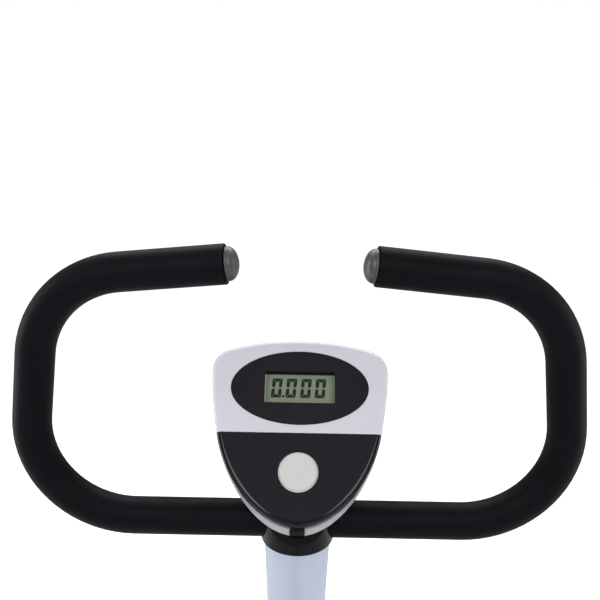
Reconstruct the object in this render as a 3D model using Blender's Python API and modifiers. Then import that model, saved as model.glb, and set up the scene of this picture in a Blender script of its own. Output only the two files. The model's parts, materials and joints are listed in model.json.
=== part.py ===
"""Upright exercise bike, modelled as the separate pieces that it is assembled from.

Metres, +Z up, +Y the way the rider faces, +X the rider's right hand. The origin is on the floor
under the middle of the bike. The crank, flywheel, seat, handlebar, knobs and button are posed at rest.
"""

import math

import bmesh
import bpy
from mathutils import Matrix, Vector
from mathutils.geometry import interpolate_bezier

# ---------------------------------------------------------------- driving dimensions
GAP = 0.0003  # left between pieces that touch
POST_LEAN = math.radians(8)  # handlebar post leans back towards the rider
SEAT_LEAN = math.radians(14)  # seat tube leans back
BAR_CENTRE = Vector((0, 0.150, 0.950))  # middle of the handlebar's crossbar
CRANK_CENTRE = Vector((0, 0, 0.330))
FLYWHEEL_CENTRE = Vector((0, 0.220, 0.270))
SEAT_TUBE_FOOT = Vector((0, -0.140, 0.100))  # where the seat tube's axis meets the beam's top

BAR_R = 0.0122  # handlebar's steel tube
FOAM_R = 0.0170  # foam over it
FOAM_WALL = FOAM_R - BAR_R - 0.00055
BEND_R = 0.088  # centreline radius of the handlebar's four bends
CROSSBAR_HALF = 0.250  # to the corner before it is rounded
SIDE_LENGTH = 0.230
SIDE_LEAN = math.radians(7.5)  # sides lean in towards the top
GRIP_LENGTH = 0.160
GRIP_RISE = math.radians(6.5)  # grips climb towards the middle
GRIP_SWEEP = math.radians(4.0)  # and come back towards the rider
TUBE_WALL = 0.002

POST_R = 0.0265
POST_TOP_R = 0.0304  # the post flares to this under the clamp cover
POST_TOP_S = -0.0185  # heights S are measured along the post from the crossbar's axis
FLARE_S = -0.125
POST_FOOT_S = -0.420
STUB_R = 0.0235  # frame's stub that the post is pushed over
STUB_TOP_S = -0.300
STUB_FOOT_S = -0.525
COVER_R = 0.0335  # clamp cover
COVER_RIM_S = -0.0180
CLAMP_HALF = 0.012
KNOB_S = -0.040

CONSOLE_TILT = math.radians(35.4)  # the face looks this far above level
CONSOLE_TIP = BAR_CENTRE + Vector((0, -0.0457, 0.0074))  # lowest point of the face
SHELL = 0.0025  # wall of the moulded covers
COVER_BACK_W = -0.0140  # depths W are measured out of the console's face
TRAY_FRONT_W = COVER_BACK_W - GAP
TRAY_BACK_W = -0.0223
BULGE_BACK_W = -0.0420
RIM_INSET = 0.0006
COVER_TIP = 0.0058  # the front cover ends this far above the rear shell's tip
SPLIT_V = 0.0895  # heights V are measured up the face from its tip
DISPLAY_V = 0.1330
DISPLAY_RADII = (0.0645, 0.0358)
WINDOW = (0.0660, 0.0310)
BUTTON_V = 0.0533
BUTTON_R = 0.0182

BEAM_HALF_WIDTH = 0.030
BEAM_Z = (0.060, 0.100)
FRONT_Y = 0.385
REAR_Y = -0.4146
STABILIZER_R = 0.025
STABILIZER_Z = 0.0310
CAP_R = 0.0310
FRONT_HALF = 0.205
REAR_HALF = 0.195
WHEEL_R = 0.026
WHEEL_Y = 0.4197
WHEEL_Z = 0.0320
WHEEL_X = 0.2215
WHEEL_WIDTH = 0.015
WHEEL_BORE_R = 0.0043

SEAT_TUBE_R = 0.0255
SEAT_TUBE_TOP = 0.440  # lengths along the seat tube from its foot
SEAT_POST_R = 0.0190
SEAT_POST_SPAN = (0.225, 0.690)
PIN_AT = 0.345
HOLE_PITCH = 0.030
SADDLE_LENGTH = 0.260

CRANK_LENGTH = 0.150
CRANK_ANGLE = math.radians(-38)  # right arm, from straight ahead
AXLE_R = 0.008
ARM_X = (0.0740, 0.0860)
PULLEY_R = 0.110
PULLEY_X = (0.0385, 0.0505)
BELT_X = (0.0400, 0.0490)
BELT_THICKNESS = 0.003
BELT_GAP = 0.0008
SMALL_PULLEY_R = 0.0155
FLYWHEEL_R = 0.125
FLYWHEEL_HALF = 0.008
FLYWHEEL_AXLE_R = 0.006
SHROUD_HALF = 0.0655
BRAKE_PIVOT = Vector((0, 0.330, 0.388))
BRAKE_PIN_R = 0.0035
BRAKE_OPEN = math.radians(4.5)  # at rest the magnets are swung this far up from the rim
TENSION_S = -0.235  # the tension dial's height on the post
PEDAL_X = (0.0985, 0.1885)
PEDAL_HALF_LENGTH = 0.046
PEDAL_BELOW = 0.0165  # the body hangs more below its spindle than above, so it levels itself
PEDAL_ABOVE = 0.0095
SPINDLE_R = 0.0055
STRAP_BASE = 0.0065  # the straps spring from just over the spindle's height

X_AXIS = Vector((1, 0, 0))
Y_AXIS = Vector((0, 1, 0))
Z_AXIS = Vector((0, 0, 1))


# ---------------------------------------------------------------- scene and materials
def clear_scene():
    for obj in list(bpy.data.objects):
        bpy.data.objects.remove(obj)


def new_collection(name):
    collection = bpy.data.collections.new(name)
    bpy.context.scene.collection.children.link(collection)
    return collection


clear_scene()
PARTS = new_collection("exercise_bike")
CUTTERS = new_collection("cutters")


def new_material(name, colour, roughness, metallic=0.0):
    material = bpy.data.materials.new(name)
    material.use_nodes = True
    shader = material.node_tree.nodes["Principled BSDF"]
    shader.inputs["Base Color"].default_value = (*colour, 1)
    shader.inputs["Roughness"].default_value = roughness
    shader.inputs["Metallic"].default_value = metallic
    return material


FOAM = new_material("foam_rubber", (0.012, 0.012, 0.014), 0.75)
BLACK = new_material("black_plastic", (0.015, 0.015, 0.018), 0.35)
GREY = new_material("light_grey_plastic", (0.66, 0.64, 0.69), 0.30)
SILVER = new_material("silver_paint", (0.52, 0.55, 0.66), 0.28)
WHITE = new_material("white_paint", (0.78, 0.79, 0.82), 0.28)
STEEL = new_material("bright_steel", (0.60, 0.60, 0.62), 0.25, 1.0)
IRON = new_material("cast_iron", (0.16, 0.16, 0.17), 0.50, 0.8)
VINYL = new_material("black_vinyl", (0.018, 0.018, 0.020), 0.55)
LCD = new_material("display_glass", (0.30, 0.34, 0.22), 0.15)
BOARD = new_material("circuit_board", (0.02, 0.16, 0.06), 0.45)
RUBBER = new_material("black_rubber", (0.02, 0.02, 0.02), 0.80)


# ---------------------------------------------------------------- places
def axes_matrix(origin, x, y, z):
    """The matrix that carries local X, Y and Z to these directions, at this origin."""
    matrix = Matrix((x, y, z)).transposed().to_4x4()
    matrix.translation = origin
    return matrix


POST_UP = Vector((0, -math.sin(POST_LEAN), math.cos(POST_LEAN)))
POST_FORWARD = Vector((0, math.cos(POST_LEAN), math.sin(POST_LEAN)))
HEAD = axes_matrix(BAR_CENTRE, X_AXIS, POST_FORWARD, POST_UP)

FACE_UP = Vector((0, math.sin(CONSOLE_TILT), math.cos(CONSOLE_TILT)))
FACE_OUT = Vector((0, -math.cos(CONSOLE_TILT), math.sin(CONSOLE_TILT)))
FACE = axes_matrix(CONSOLE_TIP, X_AXIS, FACE_UP, FACE_OUT)

SEAT_UP = Vector((0, -math.sin(SEAT_LEAN), math.cos(SEAT_LEAN)))
SEAT_FORWARD = Vector((0, math.cos(SEAT_LEAN), math.sin(SEAT_LEAN)))
SEAT = axes_matrix(SEAT_TUBE_FOOT, X_AXIS, SEAT_FORWARD, SEAT_UP)

FLOOR = Matrix.Identity(4)


def sideways(origin):
    """Local Z runs along the bike's X, local X forward and local Y up: for wheels and side plates."""
    return axes_matrix(origin, Y_AXIS, Z_AXIS, X_AXIS)


def head(x, n, s):
    """A point from the crossbar's middle: across, forward of the post's axis, and up along it."""
    return HEAD @ Vector((x, n, s))


def face(x, v, w):
    """A point of the console: across, up the face, and out of it."""
    return FACE @ Vector((x, v, w))


def seat(x, n, s):
    """A point from the seat tube's foot: across, forward of its axis, and up along it."""
    return SEAT @ Vector((x, n, s))


# ---------------------------------------------------------------- shapes
def add_object(name, mesh, matrix, material, collection=None):
    obj = bpy.data.objects.new(name, mesh)
    (collection or PARTS).objects.link(obj)
    obj.matrix_world = matrix
    if material:
        mesh.materials.append(material)
    return obj


def as_cutter(obj):
    """Turns an object into a helper that only shapes others."""
    PARTS.objects.unlink(obj)
    CUTTERS.objects.link(obj)
    obj.hide_render = True
    obj.display_type = "WIRE"
    return obj


def boolean(target, other, operation="DIFFERENCE"):
    modifier = target.modifiers.new(operation.lower(), "BOOLEAN")
    modifier.operation = operation
    modifier.object = other
    modifier.solver = "EXACT"
    return target


def cut(target, *cutters):
    for cutter in cutters:
        boolean(target, as_cutter(cutter) if cutter.name in PARTS.objects else cutter)
    return target


def join(target, *others):
    for other in others:
        boolean(target, as_cutter(other), "UNION")
    return target


def smooth(mesh, angle=35):
    mesh.shade_smooth()
    mesh.set_sharp_from_angle(angle=math.radians(angle))


def mesh_from(curve_object, name, material):
    """Replaces a curve object by the mesh that it evaluates to, with its caps welded on."""
    graph = bpy.context.evaluated_depsgraph_get()
    mesh = bpy.data.meshes.new_from_object(curve_object.evaluated_get(graph))
    mesh.materials.clear()
    matrix = curve_object.matrix_world.copy()
    bpy.data.objects.remove(curve_object)
    body = bmesh.new()
    body.from_mesh(mesh)
    bmesh.ops.remove_doubles(body, verts=body.verts, dist=1e-6)
    bmesh.ops.recalc_face_normals(body, faces=body.faces)
    body.to_mesh(mesh)
    body.free()
    smooth(mesh)
    return add_object(name, mesh, matrix, material)


def tube(name, points, radius, material, wall=None, sides=10):
    """A round bar through the points, or a pipe with open ends where a wall is given."""
    curve = bpy.data.curves.new(name, "CURVE")
    curve.dimensions = "3D"
    curve.bevel_depth = radius
    curve.bevel_resolution = (sides - 4) // 2
    curve.use_fill_caps = wall is None
    spline = curve.splines.new("POLY")
    spline.points.add(len(points) - 1)
    for slot, point in zip(spline.points, points):
        slot.co = (*point, 1)
    obj = bpy.data.objects.new(name, curve)
    PARTS.objects.link(obj)
    if wall:
        solidify = obj.modifiers.new("wall", "SOLIDIFY")
        solidify.thickness = wall
        solidify.offset = -1
        solidify.use_even_offset = False
    bpy.context.view_layer.update()
    return mesh_from(obj, name, material)


def plate(name, outlines, low, high, matrix, material, edge=0.0):
    """A flat outline, with holes where more than one is given, from local Z low to high."""
    curve = bpy.data.curves.new(name, "CURVE")
    curve.dimensions = "2D"
    curve.fill_mode = "BOTH"
    curve.extrude = (high - low) / 2 - edge
    curve.bevel_depth = edge
    curve.bevel_resolution = 0
    curve.offset = -edge
    for outline in outlines:
        spline = curve.splines.new("POLY")
        spline.points.add(len(outline) - 1)
        spline.use_cyclic_u = True
        for slot, point in zip(spline.points, outline):
            slot.co = (point[0], point[1], 0, 1)
    obj = bpy.data.objects.new(name, curve)
    PARTS.objects.link(obj)
    obj.matrix_world = matrix @ Matrix.Translation((0, 0, (low + high) / 2))
    bpy.context.view_layer.update()
    return mesh_from(obj, name, material)


def turned(name, profile, matrix, material, steps=20, closed=False):
    """A profile of (radius, height) turned about local Z. It runs down its outer side."""
    body = bmesh.new()
    verts = [body.verts.new((r, 0, h)) for r, h in profile]
    for a, b in zip(verts, verts[1:]):
        body.edges.new((a, b))
    if closed:
        body.edges.new((verts[-1], verts[0]))
    mesh = bpy.data.meshes.new(name)
    body.to_mesh(mesh)
    body.free()
    obj = add_object(name, mesh, matrix, material)
    screw = obj.modifiers.new("turn", "SCREW")
    screw.steps = steps
    screw.render_steps = steps
    screw.use_merge_vertices = True
    screw.merge_threshold = 0.00005
    screw.use_normal_calculate = False
    return obj


def disc(name, radius, low, high, matrix, material, steps=20):
    """A round bar or plate along local Z."""
    body = bmesh.new()
    bmesh.ops.create_cone(
        body, cap_ends=True, segments=steps, radius1=radius, radius2=radius, depth=high - low
    )
    bmesh.ops.translate(body, vec=(0, 0, (low + high) / 2), verts=body.verts)
    mesh = bpy.data.meshes.new(name)
    body.to_mesh(mesh)
    body.free()
    smooth(mesh)
    return add_object(name, mesh, matrix, material)


def ring(name, inner, outer, low, high, matrix, material, steps=20):
    profile = [(inner, high), (outer, high), (outer, low), (inner, low)]
    return turned(name, profile, matrix, material, steps, closed=True)


def box(name, low, high, matrix, material, edge=0.0):
    """A block between two corners, with its edges broken."""
    low, high = Vector(low), Vector(high)
    body = bmesh.new()
    bmesh.ops.create_cube(body, size=1)
    bmesh.ops.scale(body, vec=high - low, verts=body.verts)
    bmesh.ops.translate(body, vec=(low + high) / 2, verts=body.verts)
    mesh = bpy.data.meshes.new(name)
    body.to_mesh(mesh)
    body.free()
    obj = add_object(name, mesh, matrix, material)
    if edge:
        bevel = obj.modifiers.new("edges", "BEVEL")
        bevel.width = edge
        bevel.segments = 1
    return obj


# ---------------------------------------------------------------- outlines
def circle(centre, radius, steps=20, start=0.0, sweep=2 * math.pi):
    """Points of an arc. A full circle leaves out its last point, which is its first."""
    ends = 0 if sweep >= 2 * math.pi else 1
    angles = [start + sweep * i / (steps - ends) for i in range(steps)]
    return [(centre[0] + radius * math.cos(a), centre[1] + radius * math.sin(a)) for a in angles]


def ellipse(centre, radii, steps=28):
    angles = [2 * math.pi * i / steps for i in range(steps)]
    return [(centre[0] + radii[0] * math.cos(a), centre[1] + radii[1] * math.sin(a)) for a in angles]


def bezier_outline(knots, steps):
    """A closed outline through knots of (point, handle before, handle after)."""
    points = []
    for (a, _, after), (b, before, _) in zip(knots, knots[1:] + knots[:1]):
        ends = [Vector((*p, 0)) for p in (a, after, before, b)]
        points += [(p.x, p.y) for p in interpolate_bezier(*ends, steps + 1)[:-1]]
    return points


def mirrored(half):
    """A closed outline from the knots of its right half, first and last on the middle line."""
    flipped = [((-p[0], p[1]), (-b[0], b[1]), (-a[0], a[1])) for p, a, b in half[1:-1]]
    return half + flipped[::-1]


def inset(outline, distance):
    """The outline moved inwards along its normals; it runs clockwise."""
    moved = []
    count = len(outline)
    for i, point in enumerate(outline):
        before = Vector(outline[i - 1])
        after = Vector(outline[(i + 1) % count])
        along = (after - before).normalized()
        moved.append((point[0] + along.y * distance, point[1] - along.x * distance))
    return moved


def rounded_path(corners, radius, steps=7):
    """A polyline with each inner corner rounded to an arc of this radius."""
    points = [corners[0]]
    for before, corner, after in zip(corners, corners[1:], corners[2:]):
        back = (before - corner).normalized()
        ahead = (after - corner).normalized()
        half = back.angle(ahead) / 2
        centre = corner + (back + ahead).normalized() * (radius / math.sin(half))
        first = corner + back * (radius / math.tan(half)) - centre
        last = corner + ahead * (radius / math.tan(half)) - centre
        turn = first.angle(last)
        for i in range(steps + 1):
            share = i / steps
            weights = math.sin((1 - share) * turn), math.sin(share * turn)
            points.append(centre + (first * weights[0] + last * weights[1]) / math.sin(turn))
    return points + [corners[-1]]


def smooth_route(points, steps):
    """Points on a smooth curve through a cable's own points."""
    ends = [points[0]] + points + [points[-1]]
    route = []
    for a, b, c, d in zip(ends, ends[1:], ends[2:], ends[3:]):
        found = interpolate_bezier(b, b + (c - a) / 6, c - (d - b) / 6, c, steps + 1)
        route += list(found)[:-1]
    return route + [points[-1]]


def shield_outline(tip=0.0, steps=5):
    """The console's outline: an arched top, full corners, and sides that close to a rounded tip."""
    half = [
        ((0, 0.1818), (-0.030, 0.1818), (0.030, 0.1818)),
        ((0.0660, 0.1733), (0.048, 0.1780), (0.0760, 0.1705)),
        ((0.0840, 0.1510), (0.0840, 0.1625), (0.0840, 0.1310)),
        ((0.0768, 0.0895), (0.0805, 0.1110), (0.0700, 0.0500)),
        ((0, tip), (0.0370, tip), (-0.0370, tip)),
    ]
    return bezier_outline(mirrored(half), steps)


# ---------------------------------------------------------------- joints' empties
def pivot(name, origin, children):
    """An empty on a joint's axis that carries the pieces which move with it."""
    empty = bpy.data.objects.new(name, None)
    empty.empty_display_size = 0.03
    PARTS.objects.link(empty)
    empty.matrix_world = Matrix.Translation(origin)
    for child in children:
        child.parent = empty
        child.matrix_parent_inverse = Matrix.Translation(-Vector(origin))
    return empty


# ---------------------------------------------------------------- base
def end_cap(name, sign, end, y, with_wheel):
    """Moulded cap over a stabilizer's end, with a flat foot and, in front, a stub for a wheel."""
    centre = Vector((0, y, STABILIZER_Z))
    matrix = matrix_for(centre, sign)
    tip = end + 0.0070
    profile = [
        (0, tip),
        (CAP_R - 0.008, tip),
        (CAP_R, tip - 0.007),
        (CAP_R, tip - 0.044),
        (0, tip - 0.044),
    ]
    cap = turned(name, profile, matrix, BLACK, 18)
    foot_x = sorted((sign * (tip - 0.040), sign * (tip - 0.008)))
    foot_high = (foot_x[1], y + 0.020, 0.012)
    join(cap, box(name + "_foot", (foot_x[0], y - 0.020, 0), foot_high, FLOOR, None, 0.002))
    if with_wheel:
        inner = WHEEL_X - WHEEL_WIDTH / 2 - 0.001
        arm_x = sorted((sign * (inner - 0.010), sign * inner))
        low = (arm_x[0], y + 0.012, WHEEL_Z - 0.011)
        high = (arm_x[1], WHEEL_Y + 0.010, WHEEL_Z + 0.011)
        axle_frame = matrix_for(Vector((0, WHEEL_Y, WHEEL_Z)), sign)
        stub_end = WHEEL_X + WHEEL_WIDTH / 2 + 0.002
        join(cap, box(name + "_arm", low, high, FLOOR, None, 0.002))
        join(cap, disc(name + "_stub", WHEEL_BORE_R - GAP, inner - 0.004, stub_end, axle_frame, None, 12))
    cut(cap, disc(name + "_bore", STABILIZER_R + 0.0009, -0.2, end + GAP, matrix, None, 16))
    return cap


def matrix_for(origin, sign):
    """Local Z out along +X or -X, for pieces that stand on a left or right side."""
    return axes_matrix(origin, Y_AXIS * sign, Z_AXIS, X_AXIS * sign)


def build_base():
    beam_outline = bezier_box(BEAM_HALF_WIDTH, (BEAM_Z[1] - BEAM_Z[0]) / 2, 0.008)
    inner_outline = bezier_box(BEAM_HALF_WIDTH - TUBE_WALL, (BEAM_Z[1] - BEAM_Z[0]) / 2 - TUBE_WALL, 0.006)
    along = axes_matrix(Vector((0, 0, sum(BEAM_Z) / 2)), X_AXIS, -Z_AXIS, Y_AXIS)
    outlines = [beam_outline, inner_outline]
    plate("base_beam", outlines, REAR_Y - 0.018, FRONT_Y + 0.018, along, WHITE)
    for name, half, y in (("front", FRONT_HALF, FRONT_Y), ("rear", REAR_HALF, REAR_Y)):
        ends = [Vector((-half, y, STABILIZER_Z)), Vector((half, y, STABILIZER_Z))]
        bar = tube(name + "_stabilizer", ends, STABILIZER_R, WHITE, TUBE_WALL, 16)
        saddle = box(
            name + "_saddle",
            (-0.024, y - 0.018, STABILIZER_Z + 0.012),
            (0.024, y + 0.018, BEAM_Z[0] - GAP),
            FLOOR,
            None,
        )
        bar_frame = sideways(Vector((0, y, STABILIZER_Z)))
        cut(saddle, disc(name + "_saddle_bore", STABILIZER_R - 0.001, -0.03, 0.03, bar_frame, None, 20))
        join(bar, saddle)
        for side, sign in (("left", -1), ("right", 1)):
            end_cap(f"{name}_cap_{side}", sign, half, y, name == "front")
    for side, sign in (("left", -1), ("right", 1)):
        matrix = matrix_for(Vector((0, WHEEL_Y, WHEEL_Z)), sign)
        half_width = WHEEL_WIDTH / 2
        profile = [
            (WHEEL_BORE_R, WHEEL_X + half_width),
            (WHEEL_R - 0.003, WHEEL_X + half_width),
            (WHEEL_R, WHEEL_X + half_width - 0.003),
            (WHEEL_R, WHEEL_X - half_width + 0.003),
            (WHEEL_R - 0.003, WHEEL_X - half_width),
            (WHEEL_BORE_R, WHEEL_X - half_width),
        ]
        wheel = turned(f"transport_wheel_{side}", profile, matrix, RUBBER, 20, closed=True)
        pivot(f"transport_wheel_{side}_axis", Vector((sign * WHEEL_X, WHEEL_Y, WHEEL_Z)), [wheel])


def bezier_box(half_width, half_height, radius, steps=4):
    """A rectangle with round corners, clockwise."""
    points = []
    corners = (
        ((half_width - radius, half_height - radius), 90),
        ((half_width - radius, -half_height + radius), 0),
        ((-half_width + radius, -half_height + radius), -90),
        ((-half_width + radius, half_height - radius), -180),
    )
    for centre, start in corners:
        points += circle(centre, radius, steps, math.radians(start), math.radians(-90))
    return points


# ---------------------------------------------------------------- frame
def build_frame():
    # Column from the beam to the crank's shell, and the shell itself
    column_foot = Vector((0, 0, BEAM_Z[1] + GAP))
    column = tube("crank_column", [column_foot, CRANK_CENTRE], 0.0200, WHITE, TUBE_WALL, 16)
    shell = disc("crank_shell", 0.0215, -0.034, 0.034, sideways(CRANK_CENTRE), None, 20)
    join(column, shell)
    cut(column, disc("crank_shell_bore", 0.0175, -0.05, 0.05, sideways(CRANK_CENTRE), None, 20))

    # Stub that carries the handlebar post, and the tube that carries the stub
    stub_foot = head(0, 0, STUB_FOOT_S)
    stub = tube("post_stub", [stub_foot, head(0, 0, STUB_TOP_S)], STUB_R, WHITE, TUBE_WALL, 16)
    meets = head(0, 0, STUB_FOOT_S + 0.032)
    corners = [
        CRANK_CENTRE + Vector((0, 0.016, 0.016)),
        CRANK_CENTRE + Vector((0, 0.072, 0.095)),
        meets,
    ]
    spine = tube("spine_tube", rounded_path(corners, 0.060, 4), 0.0175, WHITE, TUBE_WALL, 12)
    stub_clearance = disc(
        "stub_clearance", STUB_R + GAP, STUB_FOOT_S - 0.02, STUB_TOP_S, HEAD, None, 28
    )
    shell_clearance = disc("shell_clearance", 0.0215 + GAP, -0.05, 0.05, sideways(CRANK_CENTRE), None, 20)
    column_clearance = disc("column_clearance", 0.0200 + GAP, 0.1, CRANK_CENTRE.z, FLOOR, None, 20)
    cut(spine, stub_clearance, shell_clearance, column_clearance)
    add_brake_hanger(stub)

    # Seat tube: closed at its foot, with a boss for the locking pin
    tube_profile = [
        (SEAT_TUBE_R - 0.003, SEAT_TUBE_TOP),
        (SEAT_TUBE_R, SEAT_TUBE_TOP),
        (SEAT_TUBE_R, -0.020),
        (SEAT_TUBE_R - 0.003, -0.020),
    ]
    seat_tube = turned("seat_tube", tube_profile, SEAT, WHITE, 20, closed=True)
    pin_frame = axes_matrix(seat(0, 0, PIN_AT), X_AXIS, SEAT_UP, -SEAT_FORWARD)
    boss = disc("pin_boss", 0.0110, SEAT_TUBE_R - 0.004, 0.0420, pin_frame, None, 18)
    join(seat_tube, boss)
    cut(seat_tube, disc("pin_bore", 0.0055, 0.0, 0.06, pin_frame, None, 16))
    beam_top = box("beam_top", (-0.1, -0.3, 0.0), (0.1, 0.1, BEAM_Z[1] + GAP), FLOOR, None)
    cut(seat_tube, beam_top)

    bush_profile = [
        (SEAT_POST_R + GAP, SEAT_TUBE_TOP + 0.012),
        (SEAT_TUBE_R - 0.001, SEAT_TUBE_TOP + 0.012),
        (SEAT_TUBE_R + 0.002, SEAT_TUBE_TOP + 0.008),
        (SEAT_TUBE_R + 0.002, SEAT_TUBE_TOP + GAP),
        (SEAT_TUBE_R - 0.003 - GAP, SEAT_TUBE_TOP + GAP),
        (SEAT_TUBE_R - 0.003 - GAP, SEAT_TUBE_TOP - 0.050),
        (SEAT_POST_R + GAP, SEAT_TUBE_TOP - 0.050),
    ]
    turned("seat_tube_bush", bush_profile, SEAT, BLACK, 20, closed=True)

    # Cradle that holds the flywheel's axle
    inner_left, outer_right = -0.0355, 0.0595
    floor_z = BEAM_Z[1] + GAP
    top_z = FLYWHEEL_CENTRE.z + 0.020
    u_outline = [
        (inner_left - 0.005, floor_z),
        (inner_left - 0.005, top_z),
        (inner_left, top_z),
        (inner_left, floor_z + 0.005),
        (outer_right - 0.005, floor_z + 0.005),
        (outer_right - 0.005, top_z),
        (outer_right, top_z),
        (outer_right, floor_z),
    ]
    across = axes_matrix(Vector((0, FLYWHEEL_CENTRE.y, 0)), X_AXIS, Z_AXIS, -Y_AXIS)
    cradle = plate("flywheel_cradle", [u_outline], -0.017, 0.017, across, WHITE)
    axle_frame = sideways(FLYWHEEL_CENTRE)
    cut(cradle, disc("axle_bore", FLYWHEEL_AXLE_R + GAP, -0.1, 0.1, axle_frame, None, 18))
    nut = 0.0105
    axle_profile = [
        (0, outer_right + 0.0030),
        (FLYWHEEL_AXLE_R, outer_right + 0.0030),
        (FLYWHEEL_AXLE_R, inner_left - 0.005 - GAP),
        (nut, inner_left - 0.005 - GAP),
        (nut, inner_left - 0.010),
        (0, inner_left - 0.010),
    ]
    turned("flywheel_axle", axle_profile, axle_frame, STEEL, 18)

    cartridge = [
        (AXLE_R + GAP, 0.0340),
        (0.0175 - GAP, 0.0340),
        (0.0175 - GAP, -0.0340),
        (AXLE_R + GAP, -0.0340),
    ]
    turned("crank_bearing_cartridge", cartridge, sideways(CRANK_CENTRE), STEEL, 20, closed=True)


def add_brake_hanger(stub):
    """Two lugs in front of the stub's foot, and the pin between them that the magnet bracket swings on."""
    root = head(0, STUB_R - 0.012, STUB_FOOT_S + 0.004)
    top = head(0, STUB_R - 0.012, STUB_FOOT_S + 0.040)
    lug_outline = [
        (root.y, root.z),
        (top.y, top.z),
        (BRAKE_PIVOT.y + 0.010, BRAKE_PIVOT.z + 0.006),
        (BRAKE_PIVOT.y + 0.010, BRAKE_PIVOT.z - 0.008),
        (BRAKE_PIVOT.y - 0.008, BRAKE_PIVOT.z - 0.010),
    ]
    flat = sideways(Vector((0, 0, 0)))
    for side, low in (("left", -0.0210), ("right", 0.0170)):
        join(stub, plate(f"brake_lug_{side}", [lug_outline], low, low + 0.004, flat, None))
    join(stub, disc("brake_pin", BRAKE_PIN_R, -0.0225, 0.0225, sideways(BRAKE_PIVOT), None, 14))


# ---------------------------------------------------------------- handlebar post
def post_radius(s):
    """Outer radius of the handlebar post, which flares towards its top."""
    share = max(0.0, (s - FLARE_S) / (POST_TOP_S - FLARE_S))
    return POST_R + (POST_TOP_R - POST_R) * share


def build_post():
    wall = 0.0022
    heights = [POST_TOP_S, (POST_TOP_S + FLARE_S) / 2, FLARE_S, POST_FOOT_S]
    outside = [(post_radius(s), s) for s in heights]
    inside = [(post_radius(s) - wall, s) for s in heights[::-1]]
    post = turned("handlebar_post", outside + inside, HEAD, SILVER, 20, closed=True)
    cradle = box(
        "bar_cradle",
        (-CLAMP_HALF - 0.006, -0.0225, POST_TOP_S - 0.010),
        (CLAMP_HALF + 0.006, 0.0118, -0.0030),
        HEAD,
        None,
    )
    join(post, cradle)
    bar_axis = axes_matrix(BAR_CENTRE, POST_FORWARD, POST_UP, X_AXIS)
    knob_axis = axes_matrix(head(0, 0, KNOB_S), X_AXIS, -POST_UP, POST_FORWARD)
    tension_axis = axes_matrix(head(0, 0, TENSION_S), X_AXIS, POST_UP, -POST_FORWARD)
    cut(
        post,
        disc("bar_seat", BAR_R + GAP, -0.06, 0.06, bar_axis, None, 20),
        disc("clamp_bolt_hole", 0.0055, 0.018, 0.05, knob_axis, None, 16),
        disc("tension_hole", 0.0060, 0.018, 0.05, tension_axis, None, 16),
    )

    # Strap over the crossbar; its leg reaches down inside the post to the knob's bolt
    inner_r, outer_r = BAR_R + GAP, BAR_R + GAP + 0.0027
    over = circle((0, 0), outer_r, 12, math.radians(188), math.radians(-188))
    under = circle((0, 0), inner_r, 12, 0, math.radians(188))
    leg = -0.056
    strap_outline = over + [(outer_r, leg), (inner_r, leg)] + under
    strap = plate("clamp_strap", [strap_outline], -CLAMP_HALF, CLAMP_HALF, bar_axis, STEEL)
    cut(strap, disc("strap_hole", 0.0045, 0.0, 0.03, knob_axis, None, 14))

    # Clamp cover: a short sleeve cut off along the console's back
    sleeve = ring("clamp_cover", COVER_R - SHELL, COVER_R, COVER_RIM_S, 0.090, HEAD, BLACK, 24)
    above = box("above_console_back", (-0.1, -0.1, TRAY_BACK_W - GAP), (0.1, 0.25, 0.2), FACE, None)
    foam_way = disc("foam_way", FOAM_R + 0.0006, -0.06, 0.06, bar_axis, None, 20)
    cut(sleeve, above, foam_way)

    # T-shaped clamp knob on the front of the post
    shank_start, head_start, head_end = 0.0090, post_radius(KNOB_S) + 0.004, 0.058
    knob_profile = [
        (0, head_end),
        (0.0075, head_end),
        (0.0085, head_start + 0.014),
        (0.0085, head_start),
        (0.0040, head_start),
        (0.0040, shank_start),
        (0, shank_start),
    ]
    knob = turned("clamp_knob", knob_profile, knob_axis, BLACK, 18)
    bar_outline = bezier_box(0.0230, 0.0075, 0.0065, 3)
    wing_span = (head_start + 0.010, head_end + 0.003)
    wings = plate("clamp_knob_wings", [bar_outline], *wing_span, knob_axis, None, 0.002)
    join(knob, wings)
    pivot("clamp_knob_axis", head(0, 0, KNOB_S), [knob])

    # Tension dial on the rider's side of the post
    base_profile = [
        (0.0062, POST_R + 0.012),
        (0.0225, POST_R + 0.012),
        (0.0240, POST_R + 0.009),
        (0.0240, POST_R - 0.010),
        (0.0062, POST_R - 0.010),
    ]
    base = turned("tension_dial_base", base_profile, tension_axis, BLACK, 20, closed=True)
    post_clearance = disc("post_clearance", POST_R + GAP, TENSION_S - 0.05, TENSION_S + 0.05, HEAD, None, 20)
    cut(base, post_clearance)
    low = POST_R + 0.012 + GAP
    dial_profile = [
        (0, low + 0.016),
        (0.0150, low + 0.016),
        (0.0175, low + 0.0135),
        (0.0190, low),
        (0.0055, low),
        (0.0055, 0.0120),
        (0, 0.0120),
    ]
    dial = turned("tension_dial", dial_profile, tension_axis, BLACK, 20)
    grip_high = (0.0030, 0.0170, low + 0.0215)
    grip = box("dial_grip", (-0.0030, -0.0170, low + 0.010), grip_high, tension_axis, None, 0.001)
    join(dial, grip)
    pivot("tension_dial_axis", head(0, 0, TENSION_S), [dial])


# ---------------------------------------------------------------- handlebar
def handlebar_corners(sign):
    """The right or left half of the bar's centreline, before its corners are rounded."""
    first = Vector((0, 0, 0))
    corner = Vector((CROSSBAR_HALF, 0, 0))
    shoulder = corner + SIDE_LENGTH * Vector((-math.sin(SIDE_LEAN), 0, math.cos(SIDE_LEAN)))
    grip_way = Vector((-1, -math.tan(GRIP_SWEEP), math.tan(GRIP_RISE))).normalized()
    end = shoulder + GRIP_LENGTH * grip_way
    return [Vector((p.x * sign, p.y, p.z)) for p in (first, corner, shoulder, end)]


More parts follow.
